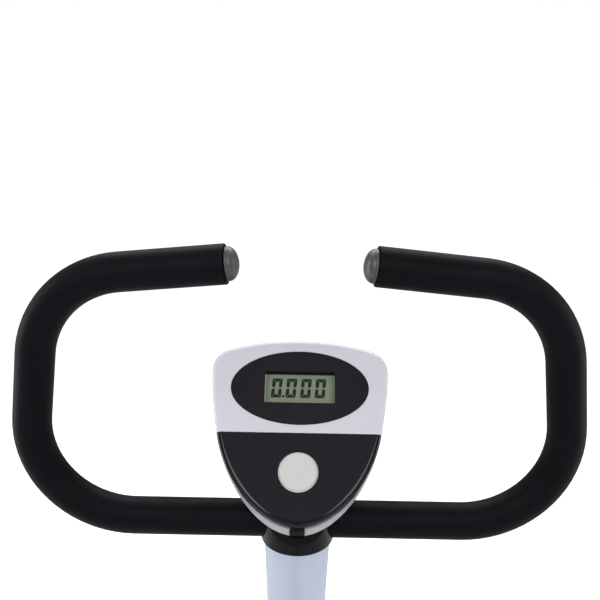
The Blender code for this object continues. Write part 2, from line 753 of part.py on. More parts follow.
def build_handlebar():
    halves = {}
    for side, sign in (("left", -1), ("right", 1)):
        path = rounded_path(handlebar_corners(sign), BEND_R, 4)
        halves[side] = [HEAD @ p for p in path]
    whole = halves["left"][::-1] + halves["right"][1:]
    pieces = [tube("handlebar_tube", whole, BAR_R, STEEL, 0.0016, 10)]
    for side, sign in (("left", -1), ("right", 1)):
        path = [head(sign * 0.0235, 0, 0)] + halves[side][1:]
        pieces.append(tube(f"foam_grip_{side}", path, FOAM_R, FOAM, FOAM_WALL, 12))
        end = path[-1]
        out = (path[-1] - path[-2]).normalized()
        side_way = out.orthogonal().normalized()
        cap_frame = axes_matrix(end, side_way, out.cross(side_way), out)
        dome = [(0.0145 * math.cos(a), 0.0025 + 0.0085 * math.sin(a)) for a in arc_angles(3)[:-1]]
        cap_profile = [(0, 0.0110)] + dome[::-1] + [
            (0.0145, GAP),
            (0.0095, GAP),
            (0.0095, -0.018),
            (0, -0.018),
        ]
        pieces.append(turned(f"end_cap_{side}", cap_profile, cap_frame, RUBBER, 14))
    pivot("handlebar_axis", BAR_CENTRE, pieces)


def arc_angles(steps):
    return [math.pi / 2 * i / steps for i in range(steps + 1)]


# ---------------------------------------------------------------- console
def cover_shell(name, material):
    """The console's whole front cover: crowned edges outside, one wall thick, open at its back."""
    outline = shield_outline(COVER_TIP)
    outside = [
        (RIM_INSET, COVER_BACK_W),
        (RIM_INSET, -0.0070),
        (RIM_INSET + 0.0010, -0.0030),
        (RIM_INSET + 0.0030, -0.0008),
        (RIM_INSET + 0.0050, 0.0),
    ]
    inside = [
        (RIM_INSET + SHELL + 0.0045, -SHELL),
        (RIM_INSET + SHELL, -0.0060),
        (RIM_INSET + SHELL, COVER_BACK_W),
    ]
    rings = [ring_at(outline, d, w) for d, w in outside]
    back = [ring_at(outline, d, w) for d, w in inside]
    return shell_between(name, rings, back, material)


def ring_at(outline, distance, height):
    """The outline moved inwards and lifted to a height, as one ring of a shell."""
    return [Vector((x, y, height)) for x, y in inset(outline, distance)]


def shell_between(name, outside, inside, material):
    """A tray: rings up the outside to a full face, then rings down the inside, joined at the rim."""
    body = bmesh.new()
    rows = [[body.verts.new(p) for p in points] for points in outside + inside]
    last_outside = len(outside) - 1
    for index in range(len(rows)):
        after = (index + 1) % len(rows)
        if index == last_outside:
            continue
        for i in range(len(rows[index])):
            j = (i + 1) % len(rows[index])
            body.faces.new((rows[index][i], rows[index][j], rows[after][j], rows[after][i]))
    body.faces.new(rows[last_outside])
    body.faces.new(rows[last_outside + 1])
    bmesh.ops.recalc_face_normals(body, faces=body.faces)
    mesh = bpy.data.meshes.new(name)
    body.to_mesh(mesh)
    body.free()
    return add_object(name, mesh, FACE, material)


def build_console():
    upper = cover_shell("console_upper_cover", GREY)
    lower = cover_shell("console_lower_cover", BLACK)
    cut(upper, box("below_split", (-0.1, -0.05, -0.05), (0.1, SPLIT_V + GAP, 0.05), FACE, None))
    cut(lower, box("above_split", (-0.1, SPLIT_V, -0.05), (0.1, 0.25, 0.05), FACE, None))
    oval = [ellipse((0, DISPLAY_V), (DISPLAY_RADII[0] + GAP, DISPLAY_RADII[1] + GAP), 24)]
    cut(upper, plate("oval_opening", oval, -0.02, 0.02, FACE, None))
    button_frame = FACE @ Matrix.Translation((0, BUTTON_V, 0))
    cut(lower, disc("button_opening", BUTTON_R + 0.0004, -0.02, 0.02, button_frame, None, 20))

    # Oval bezel with a deep rectangular window
    window = FACE @ Matrix.Translation((0, DISPLAY_V + 0.0005, 0))
    bezel = plate("display_bezel", [ellipse((0, DISPLAY_V), DISPLAY_RADII, 24)], -0.0030, 0.0006, FACE, BLACK)
    half_w, half_h = WINDOW[0] / 2, WINDOW[1] / 2
    well_low = (-half_w - 0.002, -half_h - 0.002, -0.0060)
    well_high = (half_w + 0.002, half_h + 0.002, -0.002)
    well = box("window_well", well_low, well_high, window, None)
    join(bezel, well)
    cut(bezel, box("window_hole", (-half_w, -half_h, -0.02), (half_w, half_h, 0.01), window, None))
    panel_low = (-half_w - 0.0015, -half_h - 0.0015, -0.0091)
    panel_high = (half_w + 0.0015, half_h + 0.0015, -0.0060 - GAP)
    box("lcd_panel", panel_low, panel_high, window, LCD)
    board = box("circuit_board", (-0.046, 0.040, -0.0134), (0.046, 0.152, -0.0118), FACE, BOARD)
    switch_high = (0.003, BUTTON_V + 0.003, -0.0085)
    switch = box("switch", (-0.003, BUTTON_V - 0.003, -0.0120), switch_high, FACE, None)
    driver_high = (0.030, DISPLAY_V + 0.010, -0.0096)
    driver = box("display_driver", (-0.030, DISPLAY_V - 0.010, -0.0120), driver_high, FACE, None)
    join(board, switch, driver)

    button_profile = [
        (0, 0.0022),
        (BUTTON_R - 0.0025, 0.0019),
        (BUTTON_R - 0.0006, 0.0010),
        (BUTTON_R, -0.0004),
        (BUTTON_R, -0.0050),
        (0.0040, -0.0050),
        (0.0040, -0.0065),
        (0, -0.0065),
    ]
    button = turned("reset_button", button_profile, button_frame, GREY, 20)
    pivot("reset_button_axis", face(0, BUTTON_V, 0), [button])

    build_rear_shell()


def build_rear_shell():
    """A flared tray with a hollow bulge for the battery, its door and a way in for the cable."""
    outline = shield_outline()
    rim = shield_outline(COVER_TIP)
    outside = [
        ring_at(rim, RIM_INSET, TRAY_FRONT_W),
        ring_at(outline, 0.0005, TRAY_BACK_W + 0.0015),
        ring_at(outline, 0.0015, TRAY_BACK_W),
    ]
    inside = [
        ring_at(rim, RIM_INSET + 2 * SHELL, TRAY_BACK_W + SHELL),
        ring_at(rim, RIM_INSET + SHELL, TRAY_FRONT_W),
    ]
    tray = shell_between("console_rear_shell", outside, inside, GREY)
    low_v, high_v, half = 0.0940, 0.1640, 0.0480
    bulge = box("battery_bulge", (-half, low_v, BULGE_BACK_W), (half, high_v, -0.0212), FACE, None)
    hollow_low = (-half + SHELL, low_v + SHELL, BULGE_BACK_W + SHELL)
    hollow_high = (half - SHELL, high_v - SHELL, -0.0150)
    hollow = box("bulge_hollow", hollow_low, hollow_high, FACE, None)
    door_low = (-0.0320, 0.1090, BULGE_BACK_W)
    door_high = (0.0320, 0.1490, BULGE_BACK_W + 0.002)
    hatch_low = (door_low[0] - GAP, door_low[1] - GAP, -0.06)
    hatch_high = (door_high[0] + GAP, door_high[1] + GAP, -0.030)
    hatch = box("hatch", hatch_low, hatch_high, FACE, None)
    join(tray, bulge)
    way_frame = FACE @ Matrix.Translation((0, 0.050, 0))
    cut(tray, hollow, hatch, disc("cable_way", 0.0060, -0.03, -0.0150, way_frame, None, 16))
    box("battery_door", door_low, door_high, FACE, GREY, 0.0005)
    cell_frame = axes_matrix(face(0, 0.1290, BULGE_BACK_W + 0.0105), FACE_UP, FACE_OUT, X_AXIS)
    cell_profile = [
        (0, 0.0252),
        (0.0028, 0.0252),
        (0.0028, 0.0242),
        (0.0071, 0.0242),
        (0.0071, -0.0252),
        (0, -0.0252),
    ]
    turned("battery", cell_profile, cell_frame, BLACK, 18)


# ---------------------------------------------------------------- drive
def belt_outline(extra):
    """The line round both pulleys, this far off them: two arcs and the straight runs between."""
    big, small = PULLEY_R + extra, SMALL_PULLEY_R + extra
    way = FLYWHEEL_CENTRE - CRANK_CENTRE
    heading = math.atan2(way.z, way.y)
    spread = math.acos((big - small) / way.length)
    back = circle((CRANK_CENTRE.y, CRANK_CENTRE.z), big, 22, heading + spread, 2 * math.pi - 2 * spread)
    front = circle((FLYWHEEL_CENTRE.y, FLYWHEEL_CENTRE.z), small, 10, heading - spread, 2 * spread)
    return back + front


def crank_arm(name, sign, direction):
    """A forged arm with a boss at the axle and an eye at the pedal."""
    frame = matrix_for(CRANK_CENTRE, sign)
    flat = Vector((direction.y * sign, direction.z))
    normal = Vector((-flat.y, flat.x))
    heading = math.atan2(flat.y, flat.x)
    boss = circle((0, 0), 0.0180, 14, heading + math.radians(100), math.radians(160))
    eye = circle(flat * CRANK_LENGTH, 0.0135, 12, heading - math.radians(82), math.radians(164))
    arm = plate(name, [boss + eye], ARM_X[0], ARM_X[1], frame, BLACK, 0.002)
    hub = disc(name + "_hub", 0.0185, ARM_X[0] - 0.006, ARM_X[0] + 0.003, frame, None, 20)
    join(arm, hub)
    axle_bore = disc(name + "_axle_bore", AXLE_R + GAP, 0.05, 0.12, frame, None, 20)
    eye_frame = matrix_for(CRANK_CENTRE + direction * CRANK_LENGTH, sign)
    cut(arm, axle_bore, disc(name + "_eye_bore", SPINDLE_R + GAP, 0.05, 0.12, eye_frame, None, 14))
    return arm


def build_drive():
    frame = sideways(CRANK_CENTRE)
    axle_end = ARM_X[1] + 0.004
    axle_profile = [(0, axle_end), (AXLE_R, axle_end), (AXLE_R, -axle_end), (0, -axle_end)]
    crank = [turned("crank_axle", axle_profile, frame, STEEL, 20)]
    low, high = PULLEY_X
    middle = (low + high) / 2
    pulley_profile = [
        (AXLE_R + GAP, high + 0.008),
        (0.0180, high + 0.008),
        (0.0200, middle + 0.002),
        (PULLEY_R - 0.008, middle + 0.002),
        (PULLEY_R - 0.006, high),
        (PULLEY_R + 0.0015, high),
        (PULLEY_R, BELT_X[1] + GAP),
        (PULLEY_R, BELT_X[0] - GAP),
        (PULLEY_R + 0.0015, low),
        (PULLEY_R - 0.006, low),
        (PULLEY_R - 0.008, middle - 0.002),
        (0.0180, 0.0350),
        (AXLE_R + GAP, 0.0350),
    ]
    crank.append(turned("drive_pulley", pulley_profile, frame, BLACK, 24, closed=True))
    forward = Vector((0, math.cos(CRANK_ANGLE), math.sin(CRANK_ANGLE)))
    for side, sign in (("left", -1), ("right", 1)):
        direction = forward * sign
        crank.append(crank_arm(f"crank_arm_{side}", sign, direction))
        eye = CRANK_CENTRE + direction * CRANK_LENGTH
        eye_frame = matrix_for(eye, sign)
        spindle_profile = [
            (0, PEDAL_X[1] - 0.014),
            (SPINDLE_R, PEDAL_X[1] - 0.014),
            (SPINDLE_R, ARM_X[1] + 0.008),
            (0.0090, ARM_X[1] + 0.008),
            (0.0090, ARM_X[1] + GAP),
            (SPINDLE_R, ARM_X[1] + GAP),
            (SPINDLE_R, ARM_X[0] + 0.001),
            (0, ARM_X[0] + 0.001),
        ]
        crank.append(turned(f"pedal_spindle_{side}", spindle_profile, eye_frame, STEEL, 18))
        build_pedal(side, sign, eye)
    pivot("crank_axis", CRANK_CENTRE, crank)

    belt = [belt_outline(BELT_GAP + BELT_THICKNESS), belt_outline(BELT_GAP)]
    plate("drive_belt", belt, BELT_X[0], BELT_X[1], sideways(Vector((0, 0, 0))), RUBBER)

    half = FLYWHEEL_HALF
    bore = FLYWHEEL_AXLE_R + GAP
    wheel_profile = [
        (bore, 0.0520),
        (SMALL_PULLEY_R + 0.0025, 0.0520),
        (SMALL_PULLEY_R, 0.0500),
        (SMALL_PULLEY_R, 0.0390),
        (SMALL_PULLEY_R + 0.0025, 0.0370),
        (0.0120, 0.0370),
        (0.0120, 0.0150),
        (0.0220, 0.0120),
        (0.0240, 0.0030),
        (FLYWHEEL_R - 0.024, 0.0030),
        (FLYWHEEL_R - 0.021, half),
        (FLYWHEEL_R, half),
        (FLYWHEEL_R, -half),
        (FLYWHEEL_R - 0.021, -half),
        (FLYWHEEL_R - 0.024, -0.0030),
        (0.0240, -0.0030),
        (0.0220, -0.0160),
        (0.0120, -0.0340),
        (bore, -0.0340),
    ]
    flywheel = turned("flywheel", wheel_profile, sideways(FLYWHEEL_CENTRE), IRON, 24, closed=True)
    pivot("flywheel_axis", FLYWHEEL_CENTRE, [flywheel])
    build_brake()


def build_pedal(side, sign, eye):
    """A moulded platform pedal with a window each side of its spindle, and its strap."""
    frame = matrix_for(eye, sign)
    middle_x = sum(PEDAL_X) / 2
    half_x = (PEDAL_X[1] - PEDAL_X[0]) / 2
    upright = frame @ Matrix.Translation((0, 0, middle_x)) @ Matrix.Rotation(-math.pi / 2, 4, "X")
    outline = bezier_box(PEDAL_HALF_LENGTH, half_x, 0.012, 3)
    body = plate(f"pedal_{side}", [outline], -PEDAL_BELOW, PEDAL_ABOVE, upright, BLACK, 0.002)
    for end in (-1, 1):
        near, far = sorted((end * 0.013, end * (PEDAL_HALF_LENGTH - 0.011)))
        low, high = (near, -half_x + 0.012, -0.05), (far, half_x - 0.012, 0.05)
        cut(body, box(f"pedal_window_{side}_{end + 1}", low, high, upright, None))
    bore = disc(f"pedal_bore_{side}", SPINDLE_R + GAP, PEDAL_X[0] - 0.02, PEDAL_X[1] - 0.012, frame, None, 18)
    cut(body, bore)
    arch = (half_x + 0.0035, 0.055)
    outer = [(arch[0] * math.cos(a), STRAP_BASE + arch[1] * math.sin(a)) for a in half_turn(14)]
    under = (arch[0] - 0.0022, arch[1] - 0.0022)
    inner = [(under[0] * math.cos(a), STRAP_BASE + under[1] * math.sin(a)) for a in half_turn(14)]
    strap_outline = outer + inner[::-1]
    strap_frame = axes_matrix(eye + X_AXIS * sign * middle_x, X_AXIS, Z_AXIS, -Y_AXIS)
    strap = plate(f"pedal_strap_{side}", [strap_outline], -0.012, 0.012, strap_frame, RUBBER)
    pivot(f"pedal_{side}_axis", eye, [body, strap])


def half_turn(steps):
    return [math.pi * i / steps for i in range(steps + 1)]


def build_brake():
    """An arched bracket with magnets that swings down over the flywheel's rim."""
    frame = sideways(Vector((0, 0, 0)))
    centre = (FLYWHEEL_CENTRE.y, FLYWHEEL_CENTRE.z)
    start, sweep = math.radians(62), math.radians(62)
    outer = circle(centre, FLYWHEEL_R + 0.0150, 12, start, sweep)
    inner = circle(centre, FLYWHEEL_R + 0.0115, 12, start, sweep)
    bracket = plate("magnet_bracket", [outer + inner[::-1]], -0.016, 0.016, frame, STEEL)
    lug_outline = [
        (BRAKE_PIVOT.y - 0.0500, BRAKE_PIVOT.z + 0.0150),
        (BRAKE_PIVOT.y + 0.0060, BRAKE_PIVOT.z + 0.0060),
        (BRAKE_PIVOT.y + 0.0060, BRAKE_PIVOT.z - 0.0060),
        (BRAKE_PIVOT.y - 0.0060, BRAKE_PIVOT.z - 0.0060),
        (BRAKE_PIVOT.y - 0.0500, BRAKE_PIVOT.z + 0.0080),
    ]
    join(bracket, plate("bracket_lug", [lug_outline], -0.016, 0.016, frame, None))
    magnet_outer = circle(centre, FLYWHEEL_R + 0.0125, 8, start + math.radians(6), sweep - math.radians(12))
    magnet_inner = circle(centre, FLYWHEEL_R + 0.0050, 8, start + math.radians(6), sweep - math.radians(12))
    join(bracket, plate("brake_magnets", [magnet_outer + magnet_inner[::-1]], -0.012, 0.012, frame, None))
    cut(bracket, disc("brake_pin_bore", BRAKE_PIN_R + GAP, -0.1, 0.1, sideways(BRAKE_PIVOT), None, 14))
    opened = Matrix.Rotation(-BRAKE_OPEN, 4, "X")
    about_pivot = Matrix.Translation(BRAKE_PIVOT) @ opened @ Matrix.Translation(-BRAKE_PIVOT)
    for obj in [bracket] + [modifier.object for modifier in bracket.modifiers if modifier.object]:
        obj.matrix_world = about_pivot @ obj.matrix_world
    pivot("magnet_bracket_axis", BRAKE_PIVOT, [bracket])


# ---------------------------------------------------------------- shroud
def shroud_outline(steps=4):
    """Side view of the shroud, forward and up, clockwise from its rear."""
    knots = [
        ((-0.150, 0.325), (-0.150, 0.255), (-0.150, 0.410)),
        ((0.020, 0.474), (-0.050, 0.470), (0.080, 0.478)),
        ((0.215, 0.505), (0.160, 0.505), (0.290, 0.505)),
        ((0.388, 0.290), (0.388, 0.420), (0.388, 0.190)),
        ((0.240, 0.122), (0.320, 0.122), (0.140, 0.122)),
        ((-0.055, 0.196), (0.030, 0.130), (-0.115, 0.225)),
    ]
    return bezier_outline(knots, steps)


def build_shroud():
    outline = shroud_outline()
    openings = {
        "stub": disc("shroud_stub_way", STUB_R + 0.0010, STUB_FOOT_S - 0.05, STUB_TOP_S, HEAD, None, 20),
        "axle": disc("shroud_axle_way", 0.0200, -0.1, 0.1, sideways(CRANK_CENTRE), None, 20),
        "column": box("shroud_column_way", (-0.0215, -0.0215, 0.10), (0.0215, 0.0215, 0.30), FLOOR, None),
        "cradle": box("shroud_cradle_way", (-0.0425, 0.2010, 0.10), (0.0615, 0.2390, 0.20), FLOOR, None),
    }
    for cutter in openings.values():
        as_cutter(cutter)
    for side, sign in (("left", -1), ("right", 1)):
        frame = matrix_for(Vector((0, 0, 0)), sign)
        facing = outline if sign > 0 else [(-y, z) for y, z in outline[::-1]]
        outside = [
            (0.0, GAP),
            (0.0, SHROUD_HALF - 0.0180),
            (0.0030, SHROUD_HALF - 0.0090),
            (0.0100, SHROUD_HALF - 0.0030),
            (0.0200, SHROUD_HALF),
        ]
        inside = [(0.0200, SHROUD_HALF - SHELL), (SHELL + 0.0030, SHROUD_HALF - 0.0100), (SHELL, GAP)]
        rings = [[Vector((y, z, x)) for y, z in inset(facing, d)] for d, x in outside]
        back = [[Vector((y, z, x)) for y, z in inset(facing, d)] for d, x in inside]
        half = shell_between(f"shroud_{side}", rings, back, WHITE)
        half.matrix_world = frame
        for cutter in openings.values():
            boolean(half, cutter)


# ---------------------------------------------------------------- seat
def saddle_outline(scale=1.0, steps=4):
    """Plan of the saddle: a narrow nose and a broad, round back."""
    half_length = SADDLE_LENGTH / 2
    half = [
        ((0, half_length), (-0.022, half_length), (0.022, half_length)),
        ((0.036, 0.090), (0.034, 0.118), (0.038, 0.060)),
        ((0.068, 0.000), (0.050, 0.035), (0.088, -0.030)),
        ((0.105, -0.075), (0.105, -0.050), (0.105, -0.108)),
        ((0.045, -0.128), (0.078, -0.132), (0.025, -0.126)),
        ((0, -0.124), (0.012, -0.124), (-0.012, -0.124)),
    ]
    outline = bezier_outline(mirrored(half), steps)
    return [(x * scale, y * scale) for x, y in outline]


def build_seat():
    bottom, top = SEAT_POST_SPAN
    post_profile = [
        (SEAT_POST_R - TUBE_WALL, top),
        (SEAT_POST_R, top),
        (SEAT_POST_R, bottom),
        (SEAT_POST_R - TUBE_WALL, bottom),
    ]
    post = turned("seat_post", post_profile, SEAT, STEEL, 20, closed=True)
    for step in range(-3, 5):
        at = PIN_AT + HOLE_PITCH * step
        hole_frame = axes_matrix(seat(0, 0, at), X_AXIS, SEAT_UP, -SEAT_FORWARD)
        cut(post, disc(f"height_hole_{step + 3}", 0.0052, 0.0, 0.04, hole_frame, None, 12))

    crown = seat(0, 0, top)
    level = Matrix.Translation((0, crown.y, crown.z))
    clamp_profile = [
        (0, 0.0240),
        (0.0215, 0.0240),
        (0.0225, 0.0200),
        (0.0225, -0.0220),
        (SEAT_POST_R + GAP, -0.0220),
        (SEAT_POST_R + GAP, GAP),
        (0, GAP),
    ]
    clamp_frame = axes_matrix(crown, X_AXIS, SEAT_FORWARD, SEAT_UP)
    clamp = turned("saddle_clamp", clamp_profile, clamp_frame, BLACK, 20)
    rail = box("clamp_plate", (-0.032, -0.060, 0.0210), (0.032, 0.060, 0.0290), level, None, 0.001)
    join(clamp, rail)
    pan_low = 0.0290 + GAP
    pan = plate("saddle_pan", [saddle_outline(0.94)], pan_low, pan_low + 0.012, level, BLACK, 0.002)
    pad_low = pan_low + 0.012 + GAP
    pad = plate("saddle_cushion", [saddle_outline()], pad_low, pad_low + 0.052, level, VINYL, 0.014)
    pivot("seat_axis", crown, [post, clamp, pan, pad])

    pin_frame = axes_matrix(seat(0, 0, PIN_AT), X_AXIS, SEAT_UP, -SEAT_FORWARD)
    pin_profile = [
        (0, 0.0760),
        (0.0165, 0.0750),
        (0.0200, 0.0710),
        (0.0200, 0.0560),
        (0.0130, 0.0500),
        (0.0130, 0.0420 + GAP),
        (0.0050, 0.0420 + GAP),
        (0.0050, SEAT_POST_R + 0.0010),
        (0, SEAT_POST_R + 0.0005),
    ]
    pin = turned("seat_pin_knob", pin_profile, pin_frame, BLACK, 20)
    pivot("seat_pin_axis", seat(0, 0, PIN_AT), [pin])


# ---------------------------------------------------------------- cables
def build_cables():
    """The brake cable and the console's lead, both run down inside the post and its stub."""
    brake_route = [
        head(0, -0.0092, TENSION_S + 0.002),
        head(0.004, -0.012, TENSION_S - 0.040),
        head(0.006, -0.004, STUB_TOP_S - 0.060),
        head(0.004, 0.004, STUB_FOOT_S + 0.060),
        head(0.000, 0.008, STUB_FOOT_S - 0.004),
        Vector((0, 0.232, FLYWHEEL_CENTRE.z + FLYWHEEL_R + 0.0260)),
    ]
    tube("brake_cable", smooth_route(brake_route, 6), 0.0020, BLACK, None, 6)
    lead_route = [
        face(0, 0.050, -0.0150),
        face(0.005, 0.050, -0.0240),
        head(0.0160, 0.0190, 0.010),
        head(0.0150, 0.0175, -0.035),
        head(0.014, 0.004, -0.110),
        head(0.013, 0.010, TENSION_S),
        head(0.014, 0.002, STUB_TOP_S - 0.060),
        head(0.014, -0.002, STUB_FOOT_S + 0.020),
        head(0.015, -0.001, STUB_FOOT_S - 0.002),
        Vector((0.0240, 0.2150, 0.4215)),
        Vector((0.0290, 0.1800, 0.4000)),
        Vector((0.0290, 0.1200, 0.3850)),
        Vector((0.0290, 0.0850, 0.3750)),
    ]
    tube("sensor_lead", smooth_route(lead_route, 3), 0.0018, BLACK, None, 6)


build_base()
build_frame()
build_post()
build_handlebar()
build_console()
build_drive()
build_shroud()
build_seat()
build_cables()
bpy.context.view_layer.update()
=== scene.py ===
"""Looks of the upright exercise bike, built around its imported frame.

Every piece is made in the row frame, in metres, and rides on the CAD body that it belongs to.
Places and axes come from the record's joints; lengths are the part's own driving dimensions.
"""

import json
from math import atan2, cos, degrees, exp, pi, radians, sin, tan

import bmesh
import bpy
from mathutils import Matrix, Vector, noise
from mathutils.geometry import interpolate_bezier


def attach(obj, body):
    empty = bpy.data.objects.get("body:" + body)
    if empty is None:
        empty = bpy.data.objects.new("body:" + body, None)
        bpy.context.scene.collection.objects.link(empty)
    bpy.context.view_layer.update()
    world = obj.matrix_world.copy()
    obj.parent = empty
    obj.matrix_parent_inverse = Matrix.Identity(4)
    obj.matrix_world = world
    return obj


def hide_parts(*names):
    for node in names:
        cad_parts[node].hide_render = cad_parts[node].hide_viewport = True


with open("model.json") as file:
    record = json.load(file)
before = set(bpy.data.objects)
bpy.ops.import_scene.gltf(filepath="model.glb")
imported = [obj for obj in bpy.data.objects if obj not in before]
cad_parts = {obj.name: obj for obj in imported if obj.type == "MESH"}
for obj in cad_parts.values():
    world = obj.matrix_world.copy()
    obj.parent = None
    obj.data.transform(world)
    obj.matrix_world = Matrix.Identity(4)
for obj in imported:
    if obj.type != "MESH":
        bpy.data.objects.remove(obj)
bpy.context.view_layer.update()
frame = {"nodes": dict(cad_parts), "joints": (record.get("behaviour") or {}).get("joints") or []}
NODES = frame["nodes"]
JOINTS = {joint["name"]: joint for joint in frame["joints"]}

# ---------------------------------------------------------------- driving dimensions
MM = 0.001
X_AXIS = Vector((1, 0, 0))
Y_AXIS = Vector((0, 1, 0))
Z_AXIS = Vector((0, 0, 1))
SIDES = {"left": -1, "right": 1}

# A name ending in _S is a distance up the post from the crossbar, or up the seat tube from its foot.
# One ending in _V is a distance up the console's face from its tip, and in _W one out of the face.
BAR_CENTRE = Vector(JOINTS["handlebar_tilt"]["pos_m"])
POST_FORWARD = Vector(JOINTS["clamp_knob_turn"]["axis"])
POST_UP = X_AXIS.cross(POST_FORWARD)
KNOB_AT = Vector(JOINTS["clamp_knob_turn"]["pos_m"])
DIAL_AT = Vector(JOINTS["tension_dial_turn"]["pos_m"])
FACE_OUT = -Vector(JOINTS["reset_button_press"]["axis"])
FACE_UP = FACE_OUT.cross(X_AXIS)
CONSOLE_TIP = BAR_CENTRE + Vector((0, -45.7 * MM, 7.4 * MM))
CRANK_CENTRE = Vector(JOINTS["crank_spin"]["pos_m"])
SEAT_UP = Vector(JOINTS["seat_height_slide"]["axis"])
SEAT_FORWARD = SEAT_UP.cross(X_AXIS)
PEDAL_AT = {side: Vector(JOINTS[side + "_pedal_spin"]["pos_m"]) for side in SIDES}
WHEEL_AT = {side: Vector(JOINTS[side + "_wheel_spin"]["pos_m"]) for side in SIDES}
SEAT_TUBE_FOOT = Vector((0, -0.140, 0.100))
SEAT_PIN_S = 0.345

BAR_R = 12.2 * MM
FOAM_R = 17.0 * MM
BEND_R = 0.088
CROSSBAR_HALF = 0.250
SIDE_LENGTH = 0.230
SIDE_LEAN = radians(7.5)
GRIP_LENGTH = 0.160
GRIP_RISE = radians(6.5)
GRIP_SWEEP = radians(4.0)

POST_R = 26.5 * MM
POST_TOP_R = 30.4 * MM
POST_TOP_S = -18.5 * MM
FLARE_S = -0.125
POST_FOOT_S = -0.420
STUB_R = 23.5 * MM
STUB_FOOT_S = -0.525
COVER_R = 33.5 * MM
COVER_RIM_S = -18.0 * MM
DIAL_S = (DIAL_AT - BAR_CENTRE).dot(POST_UP)

SHELL = 2.5 * MM
COVER_BACK_W = -14.0 * MM
TRAY_FRONT_W = -14.3 * MM
TRAY_BACK_W = -22.3 * MM
BULGE_BACK_W = -42.0 * MM
RIM_INSET = 0.6 * MM
COVER_TIP = 4.6 * MM
SPLIT_V = 88.9 * MM
DISPLAY_V = 133.0 * MM
DISPLAY_RADII = (64.5 * MM, 35.8 * MM)
WINDOW = (66.0 * MM, 31.0 * MM)
BUTTON_V = 53.3 * MM
BUTTON_R = 18.2 * MM

SEAT_TUBE_R = 25.5 * MM
SEAT_TUBE_TOP = 0.440
SEAT_POST_R = 19.0 * MM
SEAT_POST_SPAN = (0.225, 0.690)
HOLE_PITCH = 0.030
SHROUD_HALF = 65.5 * MM
ARM_X = (74.0 * MM, 86.0 * MM)
CRANK_LENGTH = 0.150
PEDAL_X = (98.5 * MM, 188.5 * MM)
PEDAL_HALF_LENGTH = 46.0 * MM
PEDAL_BELOW = 16.5 * MM
PEDAL_ABOVE = 9.5 * MM
BEAM_Z = (0.060, 0.100)
BEAM_HALF_WIDTH = 0.030
STABILIZER_R = 0.025
STABILIZER_Z = 0.0310
STABILIZERS = {"front": (0.205, 0.385), "rear": (0.195, -0.4146)}  # half length and place along Y
BRACKET_HALF_LENGTH = 0.018


# ---------------------------------------------------------------- places
def axes_matrix(origin, x, y, z):
    """The matrix that carries local X, Y and Z to these directions, at this origin."""
    matrix = Matrix((x, y, z)).transposed().to_4x4()
    matrix.translation = origin
    return matrix


HEAD = axes_matrix(BAR_CENTRE, X_AXIS, POST_FORWARD, POST_UP)
FACE = axes_matrix(CONSOLE_TIP, X_AXIS, FACE_UP, FACE_OUT)
KNOB = axes_matrix(KNOB_AT, X_AXIS, -POST_UP, POST_FORWARD)
DIAL = axes_matrix(DIAL_AT, X_AXIS, POST_UP, -POST_FORWARD)
SEAT = axes_matrix(SEAT_TUBE_FOOT, X_AXIS, SEAT_FORWARD, SEAT_UP)
PIN = axes_matrix(SEAT @ Vector((0, 0, SEAT_PIN_S)), X_AXIS, SEAT_UP, -SEAT_FORWARD)
SEAT_TOP = SEAT @ Matrix.Translation((0, 0, SEAT_POST_SPAN[1]))
SADDLE = Matrix.Translation((0, SEAT_TOP.translation.y, SEAT_TOP.translation.z))
ROW = Matrix.Identity(4)


def outward(origin, sign):
    """Local Z out along +X or -X, local X forward (mirrored on the left) and local Y up."""
    return axes_matrix(origin, Y_AXIS * sign, Z_AXIS, X_AXIS * sign)


# ---------------------------------------------------------------- materials
def link(tree, source, target):
    tree.links.new(source, target)


def set_inputs(node, values):
    for name, value in values.items():
        node.inputs[name].default_value = value


def noise_texture(tree, coords, scale, detail, roughness=0.55, stretch=None):
    """Noise in the piece's own metres, stretched along one of its axes where asked."""
    source = coords
    if stretch:
        mapping = tree.nodes.new("ShaderNodeMapping")
        set_inputs(mapping, {"Scale": stretch})
        link(tree, coords, mapping.inputs["Vector"])
        source = mapping.outputs["Vector"]
    node = tree.nodes.new("ShaderNodeTexNoise")
    set_inputs(node, {"Scale": scale, "Detail": detail, "Roughness": roughness})
    link(tree, source, node.inputs["Vector"])
    return node.outputs["Fac"]


def relief(tree, height, strength, distance):
    """Turns a height into small bumps on the surface."""
    bumps = tree.nodes.new("ShaderNodeBump")
    set_inputs(bumps, {"Strength": strength, "Distance": distance})
    link(tree, height, bumps.inputs["Height"])
    link(tree, bumps.outputs["Normal"], tree.nodes["Principled BSDF"].inputs["Normal"])


def ramp(tree, factor, low, high, start=0.3, end=0.7):
    """Colours or greys between two ends, spread over the middle of the factor's range."""
    node = tree.nodes.new("ShaderNodeValToRGB")
    node.color_ramp.elements[0].position = start
    node.color_ramp.elements[1].position = end
    node.color_ramp.elements[0].color = (*low, 1)
    node.color_ramp.elements[1].color = (*high, 1)
    link(tree, factor, node.inputs["Fac"])
    return node.outputs["Color"]


def grey(value):
    return (value, value, value)


